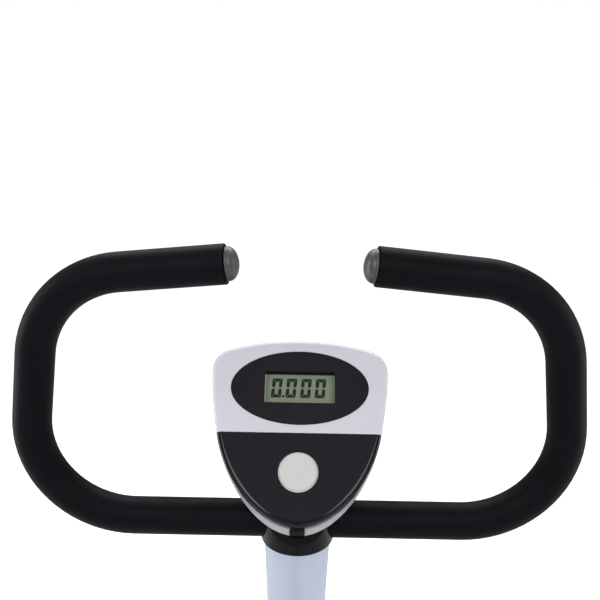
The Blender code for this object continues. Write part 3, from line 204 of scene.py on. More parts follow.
def surface(
    name, colour, roughness, metallic=0.0, vary=0.06, smudge=0.05, grain=None, bump=0.1,
    stretch=None, coat=0.0, sheen=0.0, ior=1.5, edge_wear=None, shine=0.5,
):
    """A Principled material with uneven colour, uneven gloss and a fine grain, in real scale."""
    material = bpy.data.materials.new(name)
    material.use_nodes = True
    tree = material.node_tree
    shader = tree.nodes["Principled BSDF"]
    coords = tree.nodes.new("ShaderNodeTexCoord").outputs["Object"]
    low = tuple(c * (1 - vary) for c in colour)
    high = tuple(min(1, c * (1 + vary)) for c in colour)
    clouds = noise_texture(tree, coords, 14, 4)
    base = ramp(tree, clouds, low, high)
    if edge_wear:
        geometry = tree.nodes.new("ShaderNodeNewGeometry")
        worn = tree.nodes.new("ShaderNodeMix")
        worn.data_type = "RGBA"
        wear_and_shadow_mask = ramp(tree, geometry.outputs["Pointiness"], grey(0), grey(1), 0.56, 0.66)
        link(tree, wear_and_shadow_mask, worn.inputs["Factor"])
        link(tree, base, worn.inputs["A"])
        worn.inputs["B"].default_value = (*edge_wear, 1)
        base = worn.outputs["Result"]
    link(tree, base, shader.inputs["Base Color"])
    marks = noise_texture(tree, coords, 55, 5, 0.6)
    gloss = ramp(tree, marks, grey(max(0, roughness - smudge)), grey(roughness + smudge))
    link(tree, gloss, shader.inputs["Roughness"])
    settings = {
        "Metallic": metallic,
        "IOR": ior,
        "Specular IOR Level": shine,
        "Coat Weight": coat,
        "Coat Roughness": 0.06,
        "Sheen Weight": sheen,
        "Sheen Roughness": 0.5,
    }
    set_inputs(shader, settings)
    if grain:
        relief(tree, noise_texture(tree, coords, grain, 4, 0.6, stretch), bump, 0.3 * MM)
    return material


def leather(name, colour):
    """Embossed vinyl: pebbled cells with soft creases between them."""
    material = surface(name, colour, 0.46, vary=0.12, smudge=0.08, sheen=0.05, shine=0.35)
    tree = material.node_tree
    coords = tree.nodes.new("ShaderNodeTexCoord").outputs["Object"]
    cells = tree.nodes.new("ShaderNodeTexVoronoi")
    cells.feature = "DISTANCE_TO_EDGE"
    set_inputs(cells, {"Scale": 520})
    link(tree, coords, cells.inputs["Vector"])
    creases = ramp(tree, cells.outputs["Distance"], grey(0), grey(1), 0.0, 0.28)
    relief(tree, creases, 0.45, 0.25 * MM)
    return material


FOAM = surface(
    "foam", (0.0026, 0.0026, 0.0042), 0.55, vary=0.2, grain=1500, bump=0.25, ior=1.38, shine=0.11
)
CAP_RUBBER = surface("cap_rubber", (0.046, 0.045, 0.045), 0.38, grain=900, bump=0.05, shine=0.5)
GLOSS_BLACK = surface(
    "gloss_black", (0.0055, 0.0045, 0.0072), 0.12,
    vary=0.05, smudge=0.03, grain=160, bump=0.010, shine=0.25,
)
BEZEL = surface(
    "bezel_black", (0.0092, 0.0082, 0.0106), 0.34, smudge=0.03, grain=1400, bump=0.04, shine=0.14
)
SLEEVE = surface("sleeve_black", (0.0026, 0.0022, 0.0030), 0.16, grain=600, bump=0.02, shine=0.13)
PALE = surface(
    "pale_plastic", (0.545, 0.535, 0.580), 0.22, vary=0.015, smudge=0.02, grain=220, bump=0.010
)
PALE_REAR = surface("pale_rear", (0.385, 0.382, 0.400), 0.36, vary=0.02, grain=700, bump=0.03)
BUTTON = surface("button_grey", (0.510, 0.510, 0.490), 0.40, vary=0.02, grain=1500, bump=0.06)
SILVER = surface(
    "silver_paint", (0.430, 0.470, 0.575), 0.33,
    metallic=0.40, vary=0.015, smudge=0.02, grain=420, bump=0.01,
)
WHITE = surface("white_powder", (0.54, 0.55, 0.58), 0.36, vary=0.015, smudge=0.04, grain=380, bump=0.03)
SHROUD = surface("shroud_white", (0.56, 0.57, 0.60), 0.35, vary=0.010, smudge=0.04, grain=420, bump=0.02)
ACCENT = surface("accent_grey", (0.16, 0.165, 0.19), 0.36, vary=0.03, grain=1300, bump=0.05)
STEEL = surface(
    "bright_steel", (0.52, 0.52, 0.54), 0.20, 1.0,
    vary=0.04, smudge=0.05, grain=500, bump=0.05, stretch=(1, 1, 12),
)
CHROME = surface("chrome", (0.60, 0.61, 0.63), 0.10, 1.0, vary=0.02, smudge=0.04)
IRON = surface("cast_iron", (0.10, 0.10, 0.11), 0.48, 0.8, vary=0.2, grain=420, bump=0.35)
ARM_BLACK = surface(
    "arm_black", (0.011, 0.011, 0.013), 0.34,
    grain=500, bump=0.06, shine=0.4, edge_wear=(0.05, 0.05, 0.05),
)
MATT_BLACK = surface(
    "matt_black", (0.012, 0.012, 0.014), 0.44, vary=0.12, grain=1300, bump=0.16, shine=0.35
)
RUBBER = surface("rubber", (0.014, 0.014, 0.014), 0.66, vary=0.2, grain=700, bump=0.25, shine=0.3)
CABLE = surface("cable_jacket", (0.012, 0.012, 0.013), 0.40, grain=900, bump=0.08, shine=0.4)
BOARD = surface("solder_resist", (0.012, 0.105, 0.035), 0.36, vary=0.15, grain=300, bump=0.1)
AMBER = surface("amber_reflector", (0.62, 0.14, 0.006), 0.16, vary=0.08, grain=260, bump=0.5, coat=0.6)
VINYL = leather("vinyl", (0.010, 0.010, 0.011))
PIPING = leather("piping_vinyl", (0.016, 0.016, 0.017))
THREAD = surface("thread", (0.16, 0.16, 0.17), 0.65, vary=0.2, grain=2400, bump=0.4)
LCD = surface("liquid_crystal", (0.172, 0.214, 0.138), 0.34, vary=0.03, smudge=0.02, shine=0.3)
DIGIT = surface("digit_ink", (0.010, 0.013, 0.010), 0.35, vary=0.1, smudge=0.03, shine=0.2)
GHOST = surface("unlit_segment", (0.150, 0.190, 0.120), 0.32, vary=0.03, smudge=0.02, shine=0.3)


# ---------------------------------------------------------------- meshes
def smooth(mesh, angle=32):
    mesh.shade_smooth()
    mesh.set_sharp_from_angle(angle=radians(angle))


def new_object(name, data):
    """An object for this mesh, curve, light or camera, linked to the scene."""
    obj = bpy.data.objects.new(name, data)
    bpy.context.scene.collection.objects.link(obj)
    return obj


def evaluated_mesh(obj):
    """A new mesh of the object as its modifiers or its curve settings make it."""
    bpy.context.view_layer.update()
    graph = bpy.context.evaluated_depsgraph_get()
    return bpy.data.meshes.new_from_object(obj.evaluated_get(graph))


def piece(name, body, matrix, material, angle=32):
    """Turns a bmesh into an object whose vertices are in the row frame."""
    bmesh.ops.transform(body, matrix=matrix, verts=body.verts)
    bmesh.ops.recalc_face_normals(body, faces=body.faces)
    mesh = bpy.data.meshes.new(name)
    body.to_mesh(mesh)
    body.free()
    mesh.materials.append(material)
    smooth(mesh, angle)
    return new_object(name, mesh)


def settle(obj, angle=32):
    """Applies an object's modifiers to its mesh."""
    mesh = evaluated_mesh(obj)
    obj.modifiers.clear()
    obj.data = mesh
    smooth(mesh, angle)
    return obj


def carve(obj, *cutters, operation="DIFFERENCE"):
    """Cuts objects away from another, or joins them to it, and removes them."""
    for cutter in cutters:
        modifier = obj.modifiers.new("carve", "BOOLEAN")
        modifier.operation = operation
        modifier.object = cutter
        modifier.solver = "EXACT"
    settle(obj)
    for cutter in cutters:
        bpy.data.objects.remove(cutter)
    return obj


def merge(obj, *others):
    return carve(obj, *others, operation="UNION")


def bevel_edges(obj, width, segments, angle):
    """Adds the modifier that rounds the edges sharper than this angle."""
    modifier = obj.modifiers.new("edges", "BEVEL")
    modifier.width = width
    modifier.segments = segments
    modifier.limit_method = "ANGLE"
    modifier.angle_limit = radians(angle)


def soften(obj, width, segments=2, angle=38):
    """Rounds a piece's sharp edges a little, as moulding and paint do."""
    bevel_edges(obj, width, segments, angle)
    return settle(obj)


def together(name, objects):
    """Joins the meshes of several objects into one piece, each keeping its own surface."""
    body = bmesh.new()
    materials = []
    for obj in objects:
        before = len(body.faces)
        body.from_mesh(obj.data)
        body.faces.ensure_lookup_table()
        for material in obj.data.materials:
            if material not in materials:
                materials.append(material)
        for found in list(body.faces)[before:]:
            found.material_index = materials.index(obj.data.materials[found.material_index])
    mesh = bpy.data.meshes.new(name)
    body.to_mesh(mesh)
    body.free()
    for material in materials:
        mesh.materials.append(material)
    for obj in objects:
        bpy.data.objects.remove(obj)
    smooth(mesh)
    return new_object(name, mesh)


def turns(steps):
    """The angles of this many even steps round a circle."""
    return [2 * pi * k / steps for k in range(steps)]


def quarter(steps):
    """The angles from 0 to 90 degrees in this many even steps."""
    return [pi / 2 * i / steps for i in range(steps + 1)]


def skin(body, rings, capped=False):
    """Faces between each ring of vertices and the next, and over both ends where asked."""
    for a, b in zip(rings, rings[1:]):
        for k in range(len(a)):
            m = (k + 1) % len(a)
            corners = list(dict.fromkeys((a[k], a[m], b[m], b[k])))
            if len(corners) > 2:
                body.faces.new(corners)
    if capped:
        body.faces.new(rings[0])
        body.faces.new(rings[-1])


def rounded_path(corners, radius, steps):
    """A polyline with each inner corner rounded, as tightly as its sides allow."""
    points = [corners[0]]
    for before, corner, after in zip(corners, corners[1:], corners[2:]):
        back = before - corner
        ahead = after - corner
        room = 0.49 * min(back.length, ahead.length)
        back.normalize()
        ahead.normalize()
        angle = back.angle(ahead)
        if angle > pi - 0.02:
            points.append(corner)
            continue
        size = min(radius, room * tan(angle / 2))
        centre = corner + (back + ahead).normalized() * (size / sin(angle / 2))
        first = corner + back * (size / tan(angle / 2)) - centre
        last = corner + ahead * (size / tan(angle / 2)) - centre
        turn = first.angle(last)
        for i in range(steps + 1):
            share = i / steps
            weights = sin((1 - share) * turn), sin(share * turn)
            points.append(centre + (first * weights[0] + last * weights[1]) / sin(turn))
    return points + [corners[-1]]


def sweep(name, path, radius, matrix, material, sides=32, closed=False, ends=0.0):
    """A round bar along a path. Its ends are flat, with edges rounded by this much."""
    points = [Vector(p) for p in path]
    count = len(points)
    body = bmesh.new()
    normal = (points[1] - points[0]).orthogonal().normalized()
    rings = []
    for i, point in enumerate(points):
        before = points[i - 1] if i or closed else points[i]
        after = points[(i + 1) % count] if i < count - 1 or closed else points[i]
        along = (after - before).normalized()
        normal = (normal - along * normal.dot(along)).normalized()
        side = along.cross(normal)
        offsets = [(normal * cos(a) + side * sin(a)) * radius for a in turns(sides)]
        rings.append([body.verts.new(point + offset) for offset in offsets])
    if closed:
        first, last = rings[0], rings[-1]
        nearest = min(range(sides), key=lambda k: (first[k].co - last[0].co).length)
        rings.append(first[nearest:] + first[:nearest])
    skin(body, rings, capped=not closed)
    obj = piece(name, body, matrix, material)
    return soften(obj, ends, 3, 60) if ends else obj


def turned(name, profile, matrix, material, steps=64, closed=False):
    """A profile of (radius, height) turned about local Z."""
    body = bmesh.new()
    rows = []
    for radius, height in profile:
        if radius < 1e-6:
            rows.append([body.verts.new((0, 0, height))] * steps)
            continue
        circle = [(radius * cos(a), radius * sin(a), height) for a in turns(steps)]
        rows.append([body.verts.new(point) for point in circle])
    if closed:
        rows.append(rows[0])
    skin(body, rows)
    return piece(name, body, matrix, material)


def eased(profile, radius, steps=3, closed=False):
    """A (radius, height) profile with its corners rounded."""
    points = [Vector((r, h, 0)) for r, h in profile]
    if closed:
        middle = (points[0] + points[1]) / 2
        points = [middle] + points[1:] + [points[0], middle]
    path = rounded_path(points, radius, steps)
    if closed:
        path = path[:-1]
    return [(p.x, p.y) for p in path]


def tube_profile(outer_r, inner_r, low, high):
    """The closed (radius, height) profile of a plain tube."""
    return [(inner_r, high), (outer_r, high), (outer_r, low), (inner_r, low)]


def prism(radius, low, high, sides):
    """A prism on a regular outline, from local Z low to high."""
    body = bmesh.new()
    bmesh.ops.create_cone(
        body, cap_ends=True, segments=sides, radius1=radius, radius2=radius, depth=high - low
    )
    bmesh.ops.translate(body, vec=(0, 0, (low + high) / 2), verts=body.verts)
    return body


def round_edges(body, offset, segments):
    bmesh.ops.bevel(
        body, geom=body.edges[:], offset=offset, segments=segments, profile=0.5, affect="EDGES"
    )


def disc(name, radius, low, high, matrix, material, steps):
    return piece(name, prism(radius, low, high, steps), matrix, material)


def block(name, low, high, matrix, material, edge=0.0, segments=3):
    """A block between two corners, with its edges rounded."""
    low, high = Vector(low), Vector(high)
    body = bmesh.new()
    bmesh.ops.create_cube(body, size=1)
    bmesh.ops.scale(body, vec=high - low, verts=body.verts)
    bmesh.ops.translate(body, vec=(low + high) / 2, verts=body.verts)
    if edge:
        round_edges(body, edge, segments)
    return piece(name, body, matrix, material)


def plate(name, outlines, low, high, matrix, material, edge=0.0, segments=3):
    """A flat outline, with holes where more than one is given, from local Z low to high."""
    curve = bpy.data.curves.new(name, "CURVE")
    curve.dimensions = "2D"
    curve.fill_mode = "BOTH"
    curve.extrude = (high - low) / 2 - edge
    curve.bevel_depth = edge
    curve.bevel_resolution = segments - 1
    curve.offset = -edge
    for outline in outlines:
        spline = curve.splines.new("POLY")
        spline.points.add(len(outline) - 1)
        spline.use_cyclic_u = True
        for place, point in zip(spline.points, outline):
            place.co = (point[0], point[1], 0, 1)
    obj = new_object(name, curve)
    mesh = evaluated_mesh(obj)
    bpy.data.objects.remove(obj)
    body = bmesh.new()
    body.from_mesh(mesh)
    bmesh.ops.remove_doubles(body, verts=body.verts, dist=1e-6)
    return piece(name, body, matrix @ Matrix.Translation((0, 0, (low + high) / 2)), material)


def shell(name, outside, inside, matrix, material):
    """A moulded tray: rings up the outside to a full face, then down the inside to the rim."""
    body = bmesh.new()
    rows = [[body.verts.new(p) for p in points] for points in outside + inside]
    face, back = rows[: len(outside)], rows[len(outside) :]
    skin(body, face)
    skin(body, back + face[:1])
    body.faces.new(face[-1])
    body.faces.new(back[0])
    return piece(name, body, matrix, material)


# ---------------------------------------------------------------- outlines
def arc(centre, radius, steps, start, sweep_angle):
    x, y = centre
    angles = [radians(start + sweep_angle * i / steps) for i in range(steps + 1)]
    return [(x + radius * cos(a), y + radius * sin(a)) for a in angles]


def ellipse(centre, radii):
    x, y = centre
    return [(x + radii[0] * cos(a), y + radii[1] * sin(a)) for a in turns(96)]


def round_box(half_width, half_height, radius, steps=6, centre=(0, 0)):
    """A rectangle with round corners, clockwise."""
    points = []
    x, y = half_width - radius, half_height - radius
    for (cx, cy), start in (((x, y), 90), ((x, -y), 0), ((-x, -y), -90), ((-x, y), -180)):
        points += arc((centre[0] + cx, centre[1] + cy), radius, steps, start, -90)
    return points


def bezier_outline(knots, steps):
    """A closed outline through knots of (point, handle before, handle after)."""
    points = []
    for (a, _, after), (b, before, _) in zip(knots, knots[1:] + knots[:1]):
        ends = [Vector((*p, 0)) for p in (a, after, before, b)]
        points += [(p.x, p.y) for p in interpolate_bezier(*ends, steps + 1)[:-1]]
    return points


def mirrored(half):
    """A closed outline from the knots of its right half, first and last on the middle line."""
    flipped = [((-p[0], p[1]), (-b[0], b[1]), (-a[0], a[1])) for p, a, b in half[1:-1]]
    return half + flipped[::-1]


def inset(outline, distance):
    """The outline moved inwards along its normals; it runs clockwise."""
    moved = []
    count = len(outline)
    for i, point in enumerate(outline):
        along = (Vector(outline[(i + 1) % count]) - Vector(outline[i - 1])).normalized()
        moved.append((point[0] + along.y * distance, point[1] - along.x * distance))
    return moved


def rings_of(outline, steps):
    """Rings of points for shell(), from pairs of (inset, height)."""
    return [[Vector((x, y, h)) for x, y in inset(outline, d)] for d, h in steps]


def shoulder(inset_from, low, radius, high, steps):
    """Pairs that climb a wall and turn over a round shoulder to a flat face."""
    pairs = [(inset_from, low)]
    for a in quarter(steps):
        pairs.append((inset_from + radius * (1 - cos(a)), high - radius * (1 - sin(a))))
    return pairs


def shield_outline(tip=0.0):
    """The console's outline: an arched top, full corners, and sides that close to a rounded tip."""
    half = [
        ((0, 0.1818), (-0.030, 0.1818), (0.030, 0.1818)),
        ((0.0660, 0.1733), (0.048, 0.1780), (0.0760, 0.1705)),
        ((0.0840, 0.1510), (0.0840, 0.1625), (0.0840, 0.1310)),
        ((0.0768, 0.0895), (0.0805, 0.1110), (0.0700, 0.0500)),
        ((0, tip), (0.0370, tip), (-0.0370, tip)),
    ]
    return bezier_outline(mirrored(half), 14)


# ---------------------------------------------------------------- handlebar
def half_bar(sign):
    """The right or left half of the bar's centreline, from the middle of the crossbar."""
    first = Vector((0, 0, 0))
    corner = Vector((CROSSBAR_HALF, 0, 0))
    top = corner + SIDE_LENGTH * Vector((-sin(SIDE_LEAN), 0, cos(SIDE_LEAN)))
    grip_way = Vector((-1, -tan(GRIP_SWEEP), tan(GRIP_RISE))).normalized()
    corners = [first, corner, top, top + GRIP_LENGTH * grip_way]
    return [Vector((p.x * sign, p.y, p.z)) for p in rounded_path(corners, BEND_R, 20)]


def build_handlebar():
    halves = {sign: half_bar(sign) for sign in (-1, 1)}
    whole = halves[-1][::-1] + halves[1][1:]
    bar = sweep("handlebar_bar", whole, BAR_R, HEAD, STEEL)
    add(bar, "handlebar", "bright_steel", "handlebar_tube")
    for side, sign in SIDES.items():
        path = halves[sign]
        start = Vector((sign * 0.0235, 0, 0))
        foam = sweep(f"foam_sleeve_{side}", [start] + path[1:], FOAM_R, HEAD, FOAM, 48, ends=0.8 * MM)
        add(foam, "handlebar", "foam_rubber", f"foam_grip_{side}")
        out = (path[-1] - path[-2]).normalized()
        across = out.orthogonal().normalized()
        place = HEAD @ axes_matrix(path[-1], across, out.cross(across), out)
        dome_r, rise, foot = 14.4 * MM, 8.8 * MM, 0.5 * MM
        dome = [(dome_r * cos(a), 1.9 * MM + rise * sin(a)) for a in quarter(12)]
        profile = dome[::-1] + [(dome_r, 1.0 * MM), (dome_r - MM, foot), (0, foot)]
        cap = turned(f"bar_end_cap_{side}", profile, place, CAP_RUBBER)
        add(cap, "handlebar", "black_rubber", f"end_cap_{side}")


def weigh(obj):
    """Lets the broad faces steer the shading, so that flats stay flat beside their rounded edges."""
    weights = obj.modifiers.new("weights", "WEIGHTED_NORMAL")
    weights.keep_sharp = True


def add(obj, body, slot, *replaced):
    """Puts a finished piece on its CAD body, in place of these nodes."""
    weigh(obj)
    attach(obj, body)
    if replaced:
        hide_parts(*replaced)


# ---------------------------------------------------------------- console
def cover(name, material):
    """The console's front cover before it is split: a wall, a round shoulder and a flat face."""
    outline = shield_outline(COVER_TIP)
    outside = rings_of(outline, shoulder(RIM_INSET, COVER_BACK_W, 5.5 * MM, 0.0, 9))
    wall = RIM_INSET + SHELL
    depths = [(RIM_INSET + 7 * MM, -SHELL), (wall, -8 * MM), (wall, COVER_BACK_W)]
    return shell(name, outside, rings_of(outline, depths), FACE, material)


def build_console():
    """The two-part front cover with its display, button and rear shell."""
    gap = 0.25 * MM
    upper = cover("console_face_upper", PALE)
    lower = cover("console_face_lower", GLOSS_BLACK)
    opening = [ellipse((0, DISPLAY_V), (DISPLAY_RADII[0] + gap, DISPLAY_RADII[1] + gap))]
    carve(
        upper,
        block("below", (-0.1, -0.05, -0.05), (0.1, SPLIT_V + 2 * gap, 0.05), FACE, PALE),
        plate("oval", opening, -0.03, 0.03, FACE, PALE),
    )
    button_place = FACE @ Matrix.Translation((0, BUTTON_V, 0))
    carve(
        lower,
        block("above", (-0.1, SPLIT_V, -0.05), (0.1, 0.25, 0.05), FACE, PALE),
        disc("button_way", BUTTON_R + 0.45 * MM, -0.03, 0.03, button_place, PALE, 72),
    )
    add(soften(upper, 0.35 * MM), "frame", "light_grey_plastic", "console_upper_cover")
    add(soften(lower, 0.35 * MM), "frame", "gloss_black_plastic", "console_lower_cover")
    build_display()

    dome = eased(
        [
            (0, 2.3 * MM),
            (BUTTON_R - 2.2 * MM, 2.0 * MM),
            (BUTTON_R, -0.4 * MM),
            (BUTTON_R, -5 * MM),
            (0, -5 * MM),
        ],
        1.6 * MM,
        5,
    )
    button = turned("push_button", dome, button_place, BUTTON, 72)
    add(button, "button", "light_grey_plastic", "reset_button")
    build_rear_shell()


def build_display():
    """An oval bezel whose window slopes in to the liquid crystal, with a painted shadow along the
    window's top and a painted reflection down its left side.
    """
    window = FACE @ Matrix.Translation((0, DISPLAY_V + 0.5 * MM, 0))
    half_w, half_h = WINDOW[0] / 2, WINDOW[1] / 2
    oval = ellipse((0, DISPLAY_V), DISPLAY_RADII)
    bezel = plate("oval_bezel", [oval], -3.0 * MM, 0.6 * MM, FACE, BEZEL, 0.5 * MM)
    low = (-half_w - 2 * MM, -half_h - 2 * MM, -6 * MM)
    high = (half_w + 2 * MM, half_h + 2 * MM, -2 * MM)
    merge(bezel, block("well", low, high, window, BEZEL))
    carve(bezel, plate("hole", [round_box(half_w, half_h, 1.6 * MM)], -0.02, 0.01, window, BEZEL))
    add(soften(bezel, 0.3 * MM), "frame", "black_plastic", "display_bezel")

    panel_w = -6.3 * MM
    low = (-half_w - 1.5 * MM, -half_h - 1.5 * MM, panel_w - 2.8 * MM)
    high = (half_w + 1.5 * MM, half_h + 1.5 * MM, panel_w)
    panel = block("liquid_crystal_panel", low, high, window, LCD, 0.2 * MM)
    add(panel, "frame", "display_glass", "lcd_panel")
    # A black strip over the top of the liquid crystal: painted shadow, standing for the shade that the
    # window's top wall casts.
    low = (-half_w - MM, half_h - 1.5 * MM, panel_w - 0.5 * MM)
    high = (half_w + MM, half_h + MM, panel_w + 0.5 * MM)
    wear_and_shadow_mask = block("lcd_painted_shadow_strip", low, high, window, BEZEL, 0.15 * MM)
    add(wear_and_shadow_mask, "frame", "black_plastic")
    # A pale strip down the left side of the liquid crystal: painted reflection, standing for the light
    # that the window's left wall reflects.
    low = (-half_w - MM, -half_h - MM, panel_w - 0.5 * MM)
    high = (-half_w + 1.1 * MM, half_h - 1.5 * MM, panel_w + 0.7 * MM)
    lip_and_reflection_strip = block("lcd_painted_reflection_strip", low, high, window, PALE_REAR, 0.15 * MM)
    add(lip_and_reflection_strip, "frame", "light_grey_plastic")
    build_digits(window, panel_w)


SEGMENTS = {
    "a": ((0, 1), (1, 1)),
    "b": ((1, 1), (1, 0.5)),
    "c": ((1, 0.5), (1, 0)),
    "d": ((0, 0), (1, 0)),
    "e": ((0, 0.5), (0, 0)),
    "f": ((0, 1), (0, 0.5)),
    "g": ((0, 0.5), (1, 0.5)),
}
LIT = "abcdef"  # a nought
DIGIT_SIZE = (6.4 * MM, 15.6 * MM)
DIGIT_PITCH = 13.75 * MM
DIGIT_SLANT = tan(radians(4.7))
DIGIT_CORNER = (-25.0 * MM, -7.0 * MM)
STROKE = 3.3 * MM


def segment_outline(ends, corner):
    """One bar of a seven-segment figure: mitred at the corners, pointed half way up, leaning."""
    start, end = [
        Vector((corner[0] + x * DIGIT_SIZE[0], corner[1] + y * DIGIT_SIZE[1])) for x, y in ends
    ]
    middle = Vector(corner) + Vector(DIGIT_SIZE) / 2
    along = (end - start).normalized()
    side = Vector((-along.y, along.x)) * STROKE / 2
    if side.dot(start - middle) < 0:
        side = -side
    tip = along * STROKE / 2
    start += along * 0.2 * MM
    end -= along * 0.2 * MM
    first, last = [tip if height in (0, 1) else -tip for _, height in ends]
    points = [start, start - first + side, end + last + side, end, end - tip - side, start + tip - side]
    return [(p.x + DIGIT_SLANT * p.y, p.y) for p in points]


def build_digits(window, panel_w):
    """The reading: noughts, a decimal point, and the faint unlit bars."""
    lit, ghosts = [], []
    left, bottom = DIGIT_CORNER
    for place in range(4):
        corner = (left + place * DIGIT_PITCH, bottom)
        for name, ends in SEGMENTS.items():
            target = lit if name in LIT else ghosts
            target.append(segment_outline(ends, corner))
    point = (left + (DIGIT_SIZE[0] + DIGIT_PITCH) / 2 + DIGIT_SLANT * bottom, bottom - 0.3 * MM)
    lit.append(round_box(1.1 * MM, 1.1 * MM, 0.4 * MM, 3, point))
    surface_w = panel_w + 0.02 * MM
    for name, outlines, material in (("lcd_digits", lit, DIGIT), ("lcd_unlit_bars", ghosts, GHOST)):
        bars = [
            plate(f"bar_{i}", [outline], surface_w, surface_w + 0.08 * MM, window, material)
            for i, outline in enumerate(outlines)
        ]
        add(together(name, bars), "frame", "display_glass")


CONSOLE_SCREWS = ((-0.058, 0.150), (0.058, 0.150), (-0.055, 0.085), (0.055, 0.085))


def build_rear_shell():
    """The tray at the console's back, with its bulge, battery door, screws and tip tab."""
    outline = shield_outline()
    rim = shield_outline(COVER_TIP)
    lip_and_reflection_strip = 1.6 * MM
    flare = [(0.4 * MM, TRAY_BACK_W + 3.6 * MM)]
    for a in quarter(6):
        flare.append((0.4 * MM + lip_and_reflection_strip * (1 - cos(a)), TRAY_BACK_W + lip_and_reflection_strip * (1 - sin(a))))
    edge = [(RIM_INSET, TRAY_FRONT_W), (RIM_INSET, TRAY_FRONT_W - 0.9 * MM)]
    outside = rings_of(rim, edge) + rings_of(outline, flare)
    inside = [(RIM_INSET + 2 * SHELL, TRAY_BACK_W + SHELL), (RIM_INSET + SHELL, TRAY_FRONT_W)]
    tray = shell("console_back", outside, rings_of(rim, inside), FACE, PALE_REAR)
    bulge_v, bulge_half = (94 * MM, 164 * MM), 48 * MM
    door_v, door_half = (109 * MM, 149 * MM), 32 * MM
    corners = (-bulge_half, bulge_v[0], BULGE_BACK_W), (bulge_half, bulge_v[1], -21.2 * MM)
    merge(tray, block("bulge", *corners, FACE, PALE_REAR, 5 * MM))
    hatch = block(
        "hatch",
        (-door_half - 0.4 * MM, door_v[0] - 0.4 * MM, BULGE_BACK_W - 5 * MM),
        (door_half + 0.4 * MM, door_v[1] + 0.4 * MM, BULGE_BACK_W + 2.2 * MM),
        FACE,
        PALE_REAR,
        0.4 * MM,
    )
    screws = []
    for x, v in CONSOLE_SCREWS:
        place = FACE @ Matrix.Translation((x, v, TRAY_BACK_W))
        screws.append(disc("screw_way", 3.4 * MM, -5 * MM, 1.4 * MM, place, PALE_REAR, 32))
    carve(tray, hatch, *screws)
    add(soften(tray, 0.3 * MM), "frame", "light_grey_plastic", "console_rear_shell")
    for i, (x, v) in enumerate(CONSOLE_SCREWS):
        place = FACE @ Matrix.Translation((x, v, TRAY_BACK_W + 1.4 * MM))
        place = place @ Matrix.Rotation(pi, 4, "X")
        add(cross_screw(f"console_screw_{i}", 2.8 * MM, place), "frame", "bright_steel")
    low = (-door_half, door_v[0], BULGE_BACK_W)
    high = (door_half, door_v[1], BULGE_BACK_W + 2 * MM)
    door = block("battery_hatch", low, high, FACE, PALE_REAR, 0.5 * MM)
    grooves = []
    for k in range(4):
        v = door_v[1] - 6 * MM - 2.4 * MM * k
        corners = (-9 * MM, v, BULGE_BACK_W - MM), (9 * MM, v + 1.1 * MM, BULGE_BACK_W + 0.5 * MM)
        grooves.append(block("groove", *corners, FACE, PALE_REAR))
    carve(door, *grooves)
    add(door, "frame", "light_grey_plastic", "battery_door")

    corners = (-6.8 * MM, 0.2 * MM, TRAY_BACK_W + MM), (6.8 * MM, 6 * MM, COVER_BACK_W - 0.4 * MM)
    tab = block("tip_tab", *corners, FACE, GLOSS_BLACK, 0.5 * MM)
    add(tab, "frame", "gloss_black_plastic")


def cross_screw(name, radius, place):
    """A pan-head screw with a cross in its crown, standing along local Z."""
    profile = [(radius * sin(a), radius * 0.45 * cos(a)) for a in quarter(6)]
    screw = turned(name, profile + [(radius, -0.6 * MM), (0, -0.6 * MM)], place, STEEL, 32)
    half_length, half_width, floor = radius * 0.55, radius * 0.13, radius * 0.15
    corners = (-half_length, -half_width, floor), (half_length, half_width, radius)
    slots = []
    for turn in (0, pi / 2):
        slots.append(block("slot", *corners, place @ Matrix.Rotation(turn, 4, "Z"), STEEL))
    return carve(screw, *slots)


# ---------------------------------------------------------------- handlebar post
def post_radius(s):
    share = max(0.0, (s - FLARE_S) / (POST_TOP_S - FLARE_S))
    return POST_R + (POST_TOP_R - POST_R) * share


def build_post():
    """The silver post, flared at its top, and the black sleeve over the clamp."""
    wall = 2.2 * MM
    heights = [POST_TOP_S - (POST_TOP_S - FLARE_S) * i / 8 for i in range(9)] + [POST_FOOT_S]
    outside = [(post_radius(s), s) for s in heights]
    inside = [(post_radius(s) - wall, s) for s in (POST_FOOT_S, FLARE_S, POST_TOP_S)]
    post = turned("post_tube", outside + inside, HEAD, SILVER, 96, closed=True)
    carve(post, disc("screw_way", 4.4 * MM, 20 * MM, 45 * MM, KNOB, SILVER, 40))
    add(soften(post, 0.5 * MM), "frame", "silver_paint", "handlebar_post")

    sleeve_profile = eased(
        tube_profile(COVER_R, COVER_R - SHELL, COVER_RIM_S, 0.09), 0.9 * MM, 4, closed=True
    )
    sleeve = turned("clamp_sleeve", sleeve_profile, HEAD, SLEEVE, 96, closed=True)
    bar_axis = axes_matrix(BAR_CENTRE, POST_FORWARD, POST_UP, X_AXIS)
    carve(
        sleeve,
        block("above", (-0.1, -0.1, TRAY_BACK_W - 0.3 * MM), (0.1, 0.25, 0.2), FACE, SLEEVE),
        disc("foam_way", FOAM_R + 0.5 * MM, -0.06, 0.06, bar_axis, SLEEVE, 64),
    )
    add(soften(sleeve, 0.4 * MM), "frame", "black_plastic", "clamp_cover")
    corners = (-0.05, -0.06, -23.6 * MM), (0.05, 0.05, TRAY_BACK_W - 0.4 * MM)
    web = block("sleeve_web", *corners, FACE, SLEEVE)
    bore = disc("bore", COVER_R - SHELL / 2, -0.1, 0.2, HEAD, SLEEVE, 96)
    carve(web, bore, operation="INTERSECT")
    add(web, "frame", "black_plastic")


